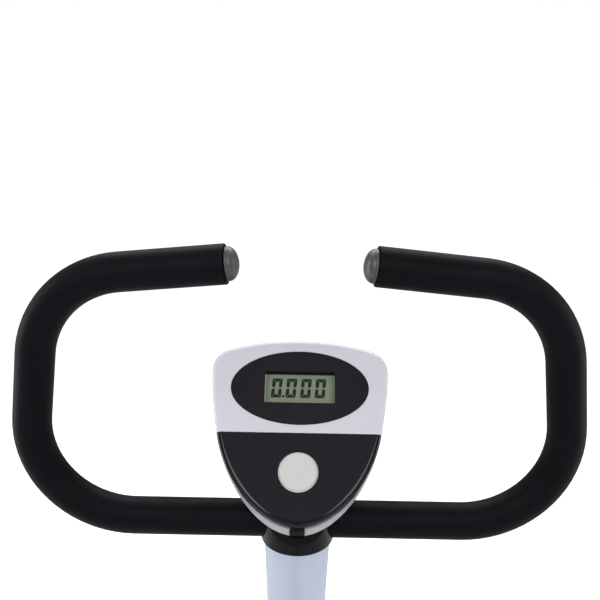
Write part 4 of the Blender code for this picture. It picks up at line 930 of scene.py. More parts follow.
def build_clamp_knob():
    """The T-shaped clamp knob in front."""
    start, end = 32.9 * MM, 58 * MM
    hub = turned(
        "clamp_handle",
        eased(
            [
                (0, end),
                (8.2 * MM, end),
                (8.8 * MM, start + 14 * MM),
                (8.8 * MM, start),
                (4 * MM, start),
                (4 * MM, 24 * MM),
                (0, 24 * MM),
            ],
            MM,
        ),
        KNOB,
        MATT_BLACK,
        48,
    )
    wings = [round_box(23 * MM, 7.5 * MM, 7 * MM, 8)]
    merge(hub, plate("wings", wings, start + 10 * MM, end + 3 * MM, KNOB, MATT_BLACK, 2.6 * MM, 4))
    add(hub, "clamp", "black_plastic", "clamp_knob")


DIAL_TICKS = 8


def build_tension_dial():
    """The dial on the rider's side of the post, with its base and scale."""
    top = POST_R + 12 * MM
    base_profile = eased(
        [
            (6.2 * MM, top),
            (22.5 * MM, top),
            (24 * MM, POST_R + 8 * MM),
            (24 * MM, POST_R - 10 * MM),
            (6.2 * MM, POST_R - 10 * MM),
        ],
        1.2 * MM,
        4,
        closed=True,
    )
    base = turned("dial_base", base_profile, DIAL, MATT_BLACK, 72, closed=True)
    carve(base, disc("post_way", POST_R + 0.3 * MM, DIAL_S - 0.05, DIAL_S + 0.05, HEAD, MATT_BLACK, 72))
    add(base, "frame", "black_plastic", "tension_dial_base")
    ticks = []
    for k in range(DIAL_TICKS):
        turn = Matrix.Rotation(radians(-150 + 300 * k / (DIAL_TICKS - 1)), 4, "Z")
        length = (1.0 + 0.22 * k) * MM
        low = (-0.35 * MM, 20.0 * MM, top - 0.1 * MM)
        high = (0.35 * MM, 20.0 * MM + length, top + 0.08 * MM)
        ticks.append(block(f"tick_{k}", low, high, DIAL @ turn, PALE))
    add(together("dial_scale", ticks), "frame", "light_grey_plastic")
    low = top + 0.3 * MM
    dial = fluted("dial_knob", (18.6 * MM, 15.5 * MM), low, low + 16 * MM, 20, DIAL, MATT_BLACK)
    corners = (-3 * MM, -16 * MM, low + 10 * MM), (3 * MM, 16 * MM, low + 21.5 * MM)
    merge(dial, block("grip", *corners, DIAL, MATT_BLACK, 1.4 * MM))
    corners = (-0.5 * MM, 5 * MM, low + 21.2 * MM), (0.5 * MM, 14 * MM, low + 21.7 * MM)
    mark = block("mark", *corners, DIAL, PALE, 0.15 * MM)
    add(together("tension_knob", [dial, mark]), "dial", "black_plastic", "tension_dial")


def fluted(name, radii, low, high, flutes, place, material):
    """A round knob with finger flutes, tapering upwards, its top edge rounded over."""
    low_r, high_r = radii
    crown, flute_depth = 3 * MM, 0.55 * MM
    profile = [(low_r, low, 0.0), (low_r, low + MM, 1.0)]
    for share in [k / 6 for k in range(1, 7)]:
        height = low + MM + (high - low - MM - crown) * share
        profile.append((low_r + (high_r - low_r) * share, height, 1.0))
    for a in quarter(6)[1:]:
        radius = high_r - crown * (1 - cos(a))
        profile.append((radius, high - crown * (1 - sin(a)), cos(a)))
    body = bmesh.new()
    rows = []
    for radius, height, depth in profile:
        row = []
        for a in turns(flutes * 6):
            r = radius - flute_depth * depth * (1 - cos(a * flutes)) / 2
            row.append(body.verts.new((r * cos(a), r * sin(a), height)))
        rows.append(row)
    skin(body, rows, capped=True)
    return piece(name, body, place, material, 40)


# ---------------------------------------------------------------- seat
def saddle_outline(inwards, steps=14):
    """Plan of the saddle: a narrow nose and a broad, round back."""
    half = [
        ((0, 0.130), (-0.022, 0.130), (0.022, 0.130)),
        ((0.036, 0.090), (0.034, 0.118), (0.038, 0.060)),
        ((0.068, 0.000), (0.050, 0.035), (0.088, -0.030)),
        ((0.105, -0.075), (0.105, -0.050), (0.105, -0.108)),
        ((0.045, -0.128), (0.078, -0.132), (0.025, -0.126)),
        ((0, -0.124), (0.012, -0.124), (-0.012, -0.124)),
    ]
    outline = bezier_outline(mirrored(half), steps)
    return inset(outline, inwards) if inwards else outline


def swell(obj, most, held_below):
    """Blows the pad up with Cloth: its foot is held, and no point moves further than this."""
    start = [v.co.copy() for v in obj.data.vertices]
    held = obj.vertex_groups.new(name="held")
    held.add([v.index for v in obj.data.vertices if v.co.z < held_below], 1.0, "REPLACE")
    cloth = obj.modifiers.new("pad", "CLOTH")
    cloth.settings.vertex_group_mass = "held"
    cloth.settings.use_pressure = True
    cloth.settings.uniform_pressure_force = 4.0
    cloth.settings.effector_weights.gravity = 0
    cloth.settings.quality = 6
    cloth.point_cache.frame_end = 20
    scene = bpy.context.scene
    for number in range(1, 21):
        scene.frame_set(number)
    settle(obj)
    scene.frame_set(1)
    for vertex, began in zip(obj.data.vertices, start):
        moved = vertex.co - began
        if moved.length > most:
            vertex.co = began + moved * (most / moved.length)


def pad_mesh(base):
    """The foam before it is stuffed: low at the nose, thick at the back, flat below."""
    rows = [
        (0.004, 0.0),
        (0.001, 0.006),
        (0.0008, 0.014),
        (0.003, 0.024),
        (0.008, 0.032),
        (0.016, 0.038),
        (0.028, 0.041),
    ]
    body = bmesh.new()
    rings = []
    for inwards, height in rows:
        ring = []
        for x, y in saddle_outline(inwards):
            back = min(1.0, max(0.0, (0.130 - y) / 0.26))
            crown = 0.74 + 0.26 * back ** 1.3
            ring.append(body.verts.new((x, y, base + height * crown)))
        rings.append(ring)
    skin(body, rings, capped=True)
    return piece("saddle_pad", body, SADDLE, VINYL)


def build_saddle():
    pan_low = 29.3 * MM
    pad_low = 41.6 * MM
    pad = pad_mesh(pad_low)
    remesh = pad.modifiers.new("even", "REMESH")
    remesh.mode = "VOXEL"
    remesh.voxel_size = 4.5 * MM
    settle(pad)
    swell(pad, 7 * MM, SADDLE.translation.z + pad_low + 9 * MM)
    shape_pad(pad, pad_low)
    fine = pad.modifiers.new("fine", "SUBSURF")
    fine.levels = fine.render_levels = 1
    settle(pad, 60)
    add(pad, "seat", "black_vinyl", "saddle_cushion")

    rim = [Vector((x, y, pad_low + 1.6 * MM)) for x, y in saddle_outline(1.2 * MM)]
    piping = sweep("saddle_piping", rim, 2.0 * MM, SADDLE, PIPING, 10, closed=True)
    add(piping, "seat", "black_vinyl")
    stitches = []
    line = saddle_outline(1.0 * MM, 26)
    for i in range(0, len(line), 2):
        ends = [Vector((*point, pad_low + 5.0 * MM)) for point in (line[i], line[(i + 1) % len(line)])]
        stitches.append(sweep(f"stitch_{i}", ends, 0.35 * MM, SADDLE, THREAD, 6))
    add(together("saddle_stitching", stitches), "seat", "black_vinyl")

    outline = [saddle_outline(5.5 * MM)]
    pan = plate("saddle_base", outline, pan_low, pan_low + 12 * MM, SADDLE, MATT_BLACK, 3 * MM, 4)
    add(pan, "seat", "black_plastic", "saddle_pan")
    build_saddle_clamp()


def shape_pad(pad, base):
    """Keeps the pad in its own space, flat where it sits, with a relief channel along its middle."""
    inverse = SADDLE.inverted()
    for vertex in pad.data.vertices:
        p = inverse @ vertex.co
        p.z = max(base, p.z)
        top = p.z - base
        if top > 20 * MM:
            along = max(0.0, 1 - ((p.y + 0.025) / 0.080) ** 2)
            across = exp(-((p.x / (7 * MM + 0.05 * max(0, -p.y))) ** 2))
            p.z -= 5.0 * MM * along * across
            dip = exp(-(((p.y - 0.015) / 0.045) ** 2))
            p.z -= 3.0 * MM * dip
        p.x = max(-0.1058, min(0.1058, p.x))
        p.z = min(base + 52.6 * MM, p.z)
        vertex.co = SADDLE @ p


def build_saddle_clamp():
    """The cup on the seat post's top, the plate under the saddle, and its four nuts."""
    inner = SEAT_POST_R + 0.3 * MM
    profile = eased(
        [
            (0, 24 * MM),
            (21.8 * MM, 24 * MM),
            (22.5 * MM, 20 * MM),
            (22.5 * MM, -22 * MM),
            (inner, -22 * MM),
            (inner, 0.3 * MM),
            (0, 0.3 * MM),
        ],
        1.2 * MM,
        4,
    )
    clamp = turned("seat_clamp", profile, SEAT_TOP, ARM_BLACK)
    plate_low, plate_high = 21 * MM, 29 * MM
    corners = (-0.032, -0.060, plate_low), (0.032, 0.060, plate_high)
    merge(clamp, block("seat_plate", *corners, SADDLE, ARM_BLACK, 1.6 * MM))
    add(soften(clamp, 0.8 * MM), "seat", "black_paint", "saddle_clamp")
    spots = [(x, y) for y in (-0.048, 0.048) for x in (-0.024, 0.024)]
    for i, (x, y) in enumerate(spots):
        place = SADDLE @ Matrix.Translation((x, y, plate_low)) @ Matrix.Rotation(pi, 4, "X")
        add(hex_nut(f"saddle_nut_{i}", 5.8 * MM, 4.6 * MM, place), "seat", "bright_steel")


def hex_nut(name, radius, height, place):
    """A nut on its stud, standing along local Z with its edges turned down."""
    body = prism(radius, 0, height, 6)
    round_edges(body, radius * 0.09, 2)
    nut = piece(name, body, place, STEEL)
    stud_r, top, bottom = radius * 0.5, height * 1.35, 0.2 * height
    profile = [(0, top), (radius * 0.42, top), (stud_r, height * 1.25), (stud_r, bottom), (0, bottom)]
    return merge(nut, turned(name + "_stud", profile, place, STEEL, 24))


def build_seat_post():
    """The sliding mast, with the row of holes that the pin goes into."""
    profile = tube_profile(SEAT_POST_R, SEAT_POST_R - 2 * MM, *SEAT_POST_SPAN)
    post = turned("seat_mast", profile, SEAT, CHROME, 96, closed=True)
    holes = []
    for step in range(-3, 5):
        at = SEAT @ Vector((0, 0, SEAT_PIN_S + HOLE_PITCH * step))
        place = axes_matrix(at, X_AXIS, SEAT_UP, -SEAT_FORWARD)
        holes.append(disc("hole", 5.2 * MM, 0.0, 0.04, place, CHROME, 32))
    carve(post, *holes)
    add(soften(post, 0.35 * MM), "seat", "bright_steel", "seat_post")


def build_seat_tube():
    """The leaning tube that holds the mast, with the pin's boss and the bush in its mouth."""
    tube_r, top = SEAT_TUBE_R, SEAT_TUBE_TOP
    profile = tube_profile(tube_r, tube_r - 3 * MM, -0.02, top)
    outer = turned("seat_socket", profile, SEAT, WHITE, 96, closed=True)
    profile = eased(tube_profile(11 * MM, 5.5 * MM, 21.5 * MM, 42 * MM), 0.8 * MM, closed=True)
    merge(outer, turned("pin_boss", profile, PIN, WHITE, 48, closed=True))
    beam_top = BEAM_Z[1] + 0.3 * MM
    carve(
        outer,
        disc("pin_way", 5.5 * MM, 0.012, 0.06, PIN, WHITE, 48),
        block("beam_top", (-0.1, -0.3, 0), (0.1, 0.1, beam_top), ROW, WHITE),
    )
    add(outer, "frame", "white_paint", "seat_tube")
    gap = 0.3 * MM
    bush_profile = eased(
        [
            (SEAT_POST_R + gap, top + 12 * MM),
            (tube_r - MM, top + 12 * MM),
            (tube_r + 2 * MM, top + 8 * MM),
            (tube_r + 2 * MM, top + gap),
            (tube_r - 3 * MM - gap, top + gap),
            (tube_r - 3 * MM - gap, top - 50 * MM),
            (SEAT_POST_R + gap, top - 50 * MM),
        ],
        1.0 * MM,
        4,
        closed=True,
    )
    bush = turned("seat_bush", bush_profile, SEAT, MATT_BLACK, 96, closed=True)
    add(bush, "frame", "black_plastic", "seat_tube_bush")
    build_pin_knob()
    lean = SEAT_UP.angle(Z_AXIS)
    weld_ring("seat_tube_weld", Vector((0, SEAT_TUBE_FOOT.y, beam_top)), tube_r, tube_r / cos(lean))


def build_pin_knob():
    """The spring pin's lobed knob, with its collar and shank."""
    lobes = fluted("pin_knob", (19.4 * MM, 19.4 * MM), 56 * MM, 74.5 * MM, 7, PIN, MATT_BLACK)
    foot = 42.3 * MM
    profile = [(0, 57 * MM), (17 * MM, 57 * MM), (13 * MM, 50 * MM), (13 * MM, foot), (0, foot)]
    merge(lobes, turned("pin_collar", eased(profile, MM), PIN, MATT_BLACK, 48))
    high, low = 44 * MM, 19.6 * MM
    profile = [(0, high), (5 * MM, high), (5 * MM, low + MM), (4.2 * MM, low), (0, low)]
    tip = turned("pin_shank", profile, PIN, STEEL, 32)
    add(together("seat_pin", [lobes, tip]), "seat_pin", "black_plastic", "seat_pin_knob")


def weld_ring(name, centre, radius_x, radius_y):
    """A hand-laid weld bead round a tube's foot, its ripples a little uneven."""
    bead = 2.2 * MM
    path = []
    for i, a in enumerate(turns(96)):
        ripple = bead * 0.22 * noise.noise(Vector((cos(a) * 3, sin(a) * 3, i * 0.9)))
        reach = 0.6 * MM + ripple
        x, y = (radius_x + reach) * cos(a), (radius_y + reach) * sin(a)
        path.append(centre + Vector((x, y, bead * 0.45)))
    add(sweep(name, path, bead, ROW, WHITE, 10, closed=True), "frame", "white_paint")


# ---------------------------------------------------------------- base
def beam_outline(inwards, radius):
    """The beam's cross-section, or a smaller one inside it."""
    half_height = (BEAM_Z[1] - BEAM_Z[0]) / 2
    return round_box(BEAM_HALF_WIDTH - inwards, half_height - inwards, radius, 8)


def build_base():
    """The beam with a plug in each end, and a stabilizer across it front and rear."""
    rear_end = STABILIZERS["rear"][1] - BRACKET_HALF_LENGTH
    front_end = STABILIZERS["front"][1] + BRACKET_HALF_LENGTH
    middle_z = sum(BEAM_Z) / 2
    along = axes_matrix(Vector((0, 0, middle_z)), X_AXIS, -Z_AXIS, Y_AXIS)
    outlines = [beam_outline(0, 8 * MM), beam_outline(2 * MM, 6 * MM)]
    beam = plate("base_tube", outlines, rear_end, front_end, along, WHITE, 0.3 * MM, 2)
    add(beam, "frame", "white_paint", "base_beam")
    for name, end, way in (("rear", rear_end, -1), ("front", front_end, 1)):
        place = axes_matrix(Vector((0, end, middle_z)), X_AXIS, -Z_AXIS * way, Y_AXIS * way)
        outline = [beam_outline(2.3 * MM, 5.5 * MM)]
        plug = plate(f"beam_plug_{name}", outline, -6 * MM, 0.2 * MM, place, MATT_BLACK, 0.6 * MM)
        add(plug, "frame", "black_plastic")
    for name, (half, y) in STABILIZERS.items():
        build_stabilizer(name, half, y)
    column = Vector((0, 0, BEAM_Z[1] + 0.3 * MM))
    weld_ring("column_weld", column, 0.020, 0.020)


def build_stabilizer(name, half, y):
    """A tube across the floor, its bracket under the beam, two bolts and an end cap each side."""
    axis = outward(Vector((0, y, STABILIZER_Z)), 1)
    profile = tube_profile(STABILIZER_R, STABILIZER_R - 2 * MM, -half, half)
    bar = turned(f"{name}_foot_tube", profile, axis, WHITE, closed=True)
    low = (-0.024, y - BRACKET_HALF_LENGTH, STABILIZER_Z + 0.012)
    high = (0.024, y + BRACKET_HALF_LENGTH, BEAM_Z[0] - 0.3 * MM)
    bracket = block(f"{name}_bracket", low, high, ROW, WHITE, 2 * MM)
    carve(bracket, disc("bar_way", STABILIZER_R - MM, -0.03, 0.03, axis, WHITE, 64))
    add(merge(bar, bracket), "frame", "white_paint", f"{name}_stabilizer")
    for i, x in enumerate((-0.016, 0.016)):
        place = Matrix.Translation((x, y, BEAM_Z[1]))
        bolt = turned(f"{name}_bolt_{i}", dome_profile(6.5 * MM, 4.2 * MM), place, STEEL, 40)
        add(bolt, "frame", "bright_steel")
    for side, sign in SIDES.items():
        build_cap(name, side, sign, half, y)


def dome_profile(radius, height):
    """A coach bolt's round head on a thin washer."""
    washer = 0.8 * MM
    dome = [(radius * cos(a), washer + (height - washer) * sin(a)) for a in quarter(8)]
    return dome[::-1] + [(radius * 1.25, washer), (radius * 1.25, 0), (0, 0)]


def build_cap(name, side, sign, half, y):
    """A moulded end cap with ribs, a flat rubber foot and, in front, an arm for a wheel."""
    radius = 31 * MM
    tip = half + 7 * MM
    place = outward(Vector((0, y, STABILIZER_Z)), sign)
    low = tip - 44 * MM
    crown = 9 * MM
    profile = [(0, tip)]
    for a in quarter(8):
        profile.append((radius - crown + crown * sin(a), tip - crown * (1 - cos(a))))
    profile += [(radius, low + 1.2 * MM), (radius - 1.2 * MM, low), (0, low)]
    cap = turned(f"{name}_end_cap_{side}", profile, place, MATT_BLACK, 72)
    foot_x = sorted((sign * (tip - 40 * MM), sign * (tip - 8 * MM)))
    corners = (foot_x[0], y - 0.020, 0.6 * MM), (foot_x[1], y + 0.020, 0.012)
    merge(cap, block("foot", *corners, ROW, MATT_BLACK, 2 * MM))
    if name == "front":
        inner = abs(WHEEL_AT[side].x) - 8.5 * MM
        arm_x = sorted((sign * (inner - 10 * MM), sign * inner))
        wheel = WHEEL_AT[side]
        low_corner = (arm_x[0], y + 0.012, wheel.z - 0.011)
        high_corner = (arm_x[1], wheel.y + 0.010, wheel.z + 0.011)
        merge(cap, block("arm", low_corner, high_corner, ROW, MATT_BLACK, 3 * MM))
    grooves = []
    for k in range(3):
        at = tip - 14 * MM - 9 * MM * k
        over, under = radius + MM, radius - MM
        ring = [(over, at), (over, at - 2.2 * MM), (under, at - 1.8 * MM), (under, at - 0.4 * MM)]
        groove = turned("groove", ring, place, MATT_BLACK, 72, closed=True)
        below = block("low_half", (-0.3, y - 0.1, -0.1), (0.3, y + 0.1, 0.0125), ROW, MATT_BLACK)
        carve(groove, below)
        grooves.append(groove)
    bar_way = disc("bar_way", STABILIZER_R + 0.3 * MM, low - 0.01, half, place, MATT_BLACK, 64)
    carve(cap, bar_way, *grooves)
    add(cap, "frame", "black_plastic", f"{name}_cap_{side}")
    pads = []
    for k in range(6):
        x = foot_x[0] + 3.0 * MM + 4.6 * MM * k
        corners = (x, y - 0.017, 0), (x + 2.8 * MM, y + 0.017, 1.4 * MM)
        pads.append(block(f"tread_{k}", *corners, ROW, RUBBER, 0.4 * MM, 2))
    add(together(f"{name}_foot_pad_{side}", pads), "frame", "black_rubber")


def build_wheels():
    """A grooved and spoked roller on each front cap's arm, held by a bolt."""
    for side, sign in SIDES.items():
        at = WHEEL_AT[side]
        place = outward(Vector((0, at.y, at.z)), sign)
        middle, half, radius = abs(at.x), 7.5 * MM, 26 * MM
        profile = eased(
            [
                (4.4 * MM, middle + half),
                (10 * MM, middle + half),
                (11 * MM, middle + half - 2 * MM),
                (radius - 6 * MM, middle + half - 2 * MM),
                (radius - 5 * MM, middle + half),
                (radius, middle + half - 1.5 * MM),
                (radius, middle + 1.0 * MM),
                (radius - 1 * MM, middle),
                (radius, middle - 1.0 * MM),
                (radius, middle - half + 1.5 * MM),
                (radius - 5 * MM, middle - half),
                (4.4 * MM, middle - half),
            ],
            0.8 * MM,
            3,
            closed=True,
        )
        wheel = turned(f"roller_{side}", profile, place, RUBBER, 96, closed=True)
        spokes = []
        for k in range(6):
            turn = Matrix.Rotation(pi * k / 3, 4, "Z")
            low = (12 * MM, -1.4 * MM, middle + half - 3.2 * MM)
            high = (19.5 * MM, 1.4 * MM, middle + half - 0.9 * MM)
            spokes.append(block(f"spoke_{k}", low, high, place @ turn, MATT_BLACK, 0.5 * MM, 2))
        roller = together(f"transport_roller_{side}", [wheel] + spokes)
        add(roller, f"{side}_wheel", "black_rubber", f"transport_wheel_{side}")
        bolt = place @ Matrix.Translation((0, 0, middle + half + 0.4 * MM))
        bolt_r, bolt_end = 4.2 * MM, -13 * MM
        crown = [(0, 1.9 * MM), (3.4 * MM, 1.6 * MM), (bolt_r, 0.7 * MM)]
        profile = crown + [(bolt_r, bolt_end), (0, bolt_end)]
        add(turned(f"roller_bolt_{side}", profile, bolt, STEEL, 32), "frame", "bright_steel")


# ---------------------------------------------------------------- drive
def build_cranks():
    """A forged arm on each end of the axle, with a groove along it, its cap and its pedal."""
    centre = Vector((0, CRANK_CENTRE.y, CRANK_CENTRE.z))
    for side, sign in SIDES.items():
        eye_centre = Vector((0, PEDAL_AT[side].y, PEDAL_AT[side].z))
        direction = (eye_centre - centre).normalized()
        place = outward(centre, sign)
        flat = Vector((direction.y * sign, direction.z))
        heading = degrees(atan2(flat.y, flat.x))
        boss = arc((0, 0), 18 * MM, 28, heading + 100, 160)
        far = flat * CRANK_LENGTH
        tip = arc((far.x, far.y), 13.5 * MM, 24, heading - 82, 164)
        arm = plate(f"arm_{side}", [boss + tip], ARM_X[0], ARM_X[1], place, ARM_BLACK, 3.0 * MM, 5)
        hub_r, hub_low, hub_high = 18.5 * MM, 68 * MM, 77 * MM
        profile = [
            (0, hub_high), (hub_r, hub_high), (hub_r, hub_low + MM), (hub_r - MM, hub_low), (0, hub_low)
        ]
        merge(arm, turned("hub", profile, place, ARM_BLACK))
        trench_low, trench_high = flat * 0.034, flat * 0.122
        trench = arc((trench_low.x, trench_low.y), 6.0 * MM, 12, heading + 90, 180)
        trench += arc((trench_high.x, trench_high.y), 4.2 * MM, 12, heading - 90, 180)
        eye_place = place @ Matrix.Translation((far.x, far.y, 0))
        carve(
            arm,
            plate("trench", [trench], ARM_X[1] - 1.4 * MM, ARM_X[1] + 5 * MM, place, ARM_BLACK),
            disc("axle_way", 8.3 * MM, 0.05, 0.12, place, ARM_BLACK, 64),
            disc("eye_way", 5.8 * MM, 0.05, 0.12, eye_place, ARM_BLACK, 48),
        )
        add(soften(arm, 0.5 * MM), "crank", "black_paint", f"crank_arm_{side}")
        cap_place = place @ Matrix.Translation((0, 0, 90 * MM))
        cap_r, cap_foot = 7.8 * MM, -5 * MM
        crown = [(0, 1.6 * MM), (4 * MM, 1.4 * MM), (6.6 * MM, 0.7 * MM), (cap_r, -0.8 * MM)]
        profile = crown + [(cap_r, cap_foot), (0, cap_foot)]
        add(turned(f"axle_cap_{side}", profile, cap_place, STEEL, 48), "crank", "bright_steel")
        build_pedal(side, sign, eye_centre)


def build_pedal(side, sign, eye):
    """A platform with windows and a ribbed tread, a reflector at each end, and a strap."""
    place = outward(eye, sign)
    middle = sum(PEDAL_X) / 2
    half_x = (PEDAL_X[1] - PEDAL_X[0]) / 2
    upright = place @ Matrix.Translation((0, 0, middle)) @ Matrix.Rotation(-pi / 2, 4, "X")
    half_y = PEDAL_HALF_LENGTH
    outline = [round_box(half_y, half_x, 12 * MM, 8)]
    body = plate(f"platform_{side}", outline, -PEDAL_BELOW, PEDAL_ABOVE, upright, MATT_BLACK, 3 * MM, 4)
    cutters = []
    for end in (-1, 1):
        near, far = sorted((end * 13 * MM, end * (half_y - 11 * MM)))
        for k in range(3):
            low = -half_x + 12 * MM + k * 22.6 * MM
            corners = (near, low, -0.05), (far, low + 20.8 * MM, 0.05)
            cutters.append(block("window", *corners, upright, MATT_BLACK, 2 * MM))
        bar = end * (half_y - 6 * MM)
        for k in range(9):
            x = -half_x + 10.5 * MM + k * 8.2 * MM
            low = (bar - 4.2 * MM, x, PEDAL_ABOVE - 1.1 * MM)
            high = (bar + 4.2 * MM, x + 3.4 * MM, PEDAL_ABOVE + 2 * MM)
            cutters.append(block("tread", low, high, upright, MATT_BLACK, 0.4 * MM, 2))
    spindle = PEDAL_X[0] - 0.02, PEDAL_X[1] - 12 * MM
    cutters.append(disc("spindle_way", 5.8 * MM, *spindle, place, MATT_BLACK, 40))
    carve(body, *cutters)
    add(soften(body, 0.4 * MM), f"{side}_pedal", "black_plastic", f"pedal_{side}")
    for end, label in ((-1, "rear"), (1, "front")):
        face_at = end * (half_y + 0.1 * MM)
        low_y, high_y = sorted((face_at - end * 2 * MM, face_at + end * 0.9 * MM))
        corners = (low_y, -26 * MM, -10.5 * MM), (high_y, 26 * MM, 3.5 * MM)
        reflector = block(f"pedal_reflector_{label}_{side}", *corners, upright, AMBER, MM)
        add(reflector, f"{side}_pedal", "black_plastic")
    build_strap(side, sign, eye, middle, half_x)


def build_strap(side, sign, eye, middle, half_x):
    """A moulded strap over the foot: teeth and holes on its outer side, a buckle at each end."""
    arch = (half_x + 3.5 * MM, 55 * MM)
    under = (arch[0] - 2.2 * MM, arch[1] - 2.2 * MM)
    base = 6.5 * MM
    angles = [pi * i / 72 for i in range(73)]
    outer, inner = [
        [(radii[0] * cos(a) * sign, base + radii[1] * sin(a)) for a in angles]
        for radii in (arch, under)
    ]
    place = axes_matrix(eye + X_AXIS * sign * middle, X_AXIS, Z_AXIS, -Y_AXIS)
    strap = plate(f"strap_{side}", [outer + inner[::-1]], -12 * MM, 12 * MM, place, RUBBER, 0.5 * MM, 2)
    teeth, holes = [], []
    for k in range(9):
        a = radians(14 + 5.5 * k)
        spot = Vector((arch[0] * cos(a) * sign, base + arch[1] * sin(a), 0))
        out = Vector((cos(a) / arch[0] * sign, sin(a) / arch[1], 0)).normalized()
        at = place @ axes_matrix(spot, Vector((-out.y, out.x, 0)), Z_AXIS, out)
        if k % 2:
            holes.append(disc("hole", 2.1 * MM, -6 * MM, 4 * MM, at, RUBBER, 20))
        else:
            corners = (-1.1 * MM, -9.5 * MM, -0.8 * MM), (1.1 * MM, 9.5 * MM, 1.0 * MM)
            teeth.append(block(f"tooth_{k}", *corners, at, RUBBER, 0.4 * MM, 2))
    carve(strap, *holes)
    strap = together(f"toe_strap_{side}", [strap] + teeth)
    add(strap, f"{side}_pedal", "strap_rubber", f"pedal_strap_{side}")
    tabs = []
    for end in (-1, 1):
        tab = sorted((sign * end * (half_x - 2 * MM), sign * end * (half_x + 4.1 * MM)))
        corners = (tab[0], base + 0.2 * MM, -8 * MM), (tab[1], base + 2.6 * MM, 8 * MM)
        tabs.append(block(f"tab_{end}", *corners, place, MATT_BLACK, 0.6 * MM, 2))
        lug = sorted((sign * end * (half_x + 2.4 * MM), sign * end * (half_x + 4.2 * MM)))
        corners = (lug[0], base - 0.2 * MM, -5 * MM), (lug[1], base + 9 * MM, 5 * MM)
        tabs.append(block(f"lug_{end}", *corners, place, MATT_BLACK, 0.7 * MM, 2))
    add(together(f"strap_buckle_{side}", tabs), f"{side}_pedal", "black_plastic")


# ---------------------------------------------------------------- shroud
def shroud_outline():
    """Side view of the shroud, forward and up, clockwise from its rear."""
    knots = [
        ((-0.150, 0.325), (-0.150, 0.255), (-0.150, 0.410)),
        ((0.020, 0.474), (-0.050, 0.470), (0.080, 0.478)),
        ((0.215, 0.505), (0.160, 0.505), (0.290, 0.505)),
        ((0.388, 0.290), (0.388, 0.420), (0.388, 0.190)),
        ((0.240, 0.122), (0.320, 0.122), (0.140, 0.122)),
        ((-0.055, 0.196), (0.030, 0.130), (-0.115, 0.225)),
    ]
    return bezier_outline(knots, 18)


def facing(outline, sign):
    return outline if sign > 0 else [(-y, z) for y, z in outline[::-1]]


def shroud_band(outer, inner, sign):
    """Both edges of a band round the shroud's side, this far in from its outline."""
    return [facing(inset(shroud_outline(), distance), sign) for distance in (outer, inner)]


SHROUD_SCREWS = (
    (-0.118, 0.322),
    (0.000, 0.438),
    (0.215, 0.470),
    (0.352, 0.300),
    (0.238, 0.156),
    (-0.046, 0.222),
)


def build_shroud():
    for side, sign in SIDES.items():
        place = outward(Vector((0, 0, 0)), sign)
        screw_places = [place @ Matrix.Translation((y * sign, z, 0)) for y, z in SHROUD_SCREWS]
        build_shroud_half(side, sign, place, screw_places)
        for i, at in enumerate(screw_places):
            build_shroud_screw(f"{side}_{i}", at)
        build_shroud_trim(side, sign, place)


def build_shroud_half(side, sign, place, screw_places):
    """One moulded half, cut away for the frame, the axle, its screws and its pinstripe."""
    seam = 0.35 * MM
    corner_in, corner_back = 0.020, 0.018
    outline = facing(shroud_outline(), sign)
    pairs = [(0.9 * MM, seam), (0.3 * MM, MM), (0.0, 2.2 * MM), (0.0, SHROUD_HALF - corner_back)]
    for a in quarter(10)[1:]:
        height = SHROUD_HALF - corner_back * (1 - sin(a))
        pairs.append((corner_in * (1 - cos(a)), height))
    inside = [
        (corner_in, SHROUD_HALF - SHELL),
        (SHELL + 3 * MM, SHROUD_HALF - 0.010),
        (SHELL, seam),
    ]
    half = shell(f"cover_{side}", rings_of(outline, pairs), rings_of(outline, inside), place, SHROUD)
    groove = shroud_band(0.046, 0.050, sign)
    ways = [
        disc("stub_way", STUB_R + MM, STUB_FOOT_S - 0.05, -0.300, HEAD, SHROUD, 64),
        disc("axle_way", 20 * MM, -0.1, 0.1, outward(CRANK_CENTRE, 1), SHROUD, 72),
        block("column_way", (-0.0215, -0.0215, 0.10), (0.0215, 0.0215, 0.30), ROW, SHROUD),
        block("cradle_way", (-0.0425, 0.2010, 0.10), (0.0615, 0.2390, 0.20), ROW, SHROUD),
        plate("groove", groove, SHROUD_HALF - 0.8 * MM, SHROUD_HALF + 2 * MM, place, SHROUD),
    ]
    for at in screw_places:
        recess = disc("recess", 5 * MM, SHROUD_HALF - 3.4 * MM, SHROUD_HALF + 0.01, at, SHROUD, 32)
        ways.append(recess)
    carve(half, *ways)
    add(soften(half, 0.5 * MM), "frame", "white_plastic", f"shroud_{side}")


def build_shroud_screw(label, at):
    """A screw in a grey cup, at the bottom of its recess."""
    floor = SHROUD_HALF - 2.2 * MM
    cup_r, low, high = 4.9 * MM, floor - 1.6 * MM, floor - 0.4 * MM
    cup = [(0, low), (cup_r, low), (cup_r, high), (0, high)]
    add(turned(f"screw_cup_{label}", cup, at, ACCENT, 32), "frame", "white_plastic")
    screw = cross_screw(f"shroud_screw_{label}", 3.4 * MM, at @ Matrix.Translation((0, 0, floor)))
    add(screw, "frame", "bright_steel")


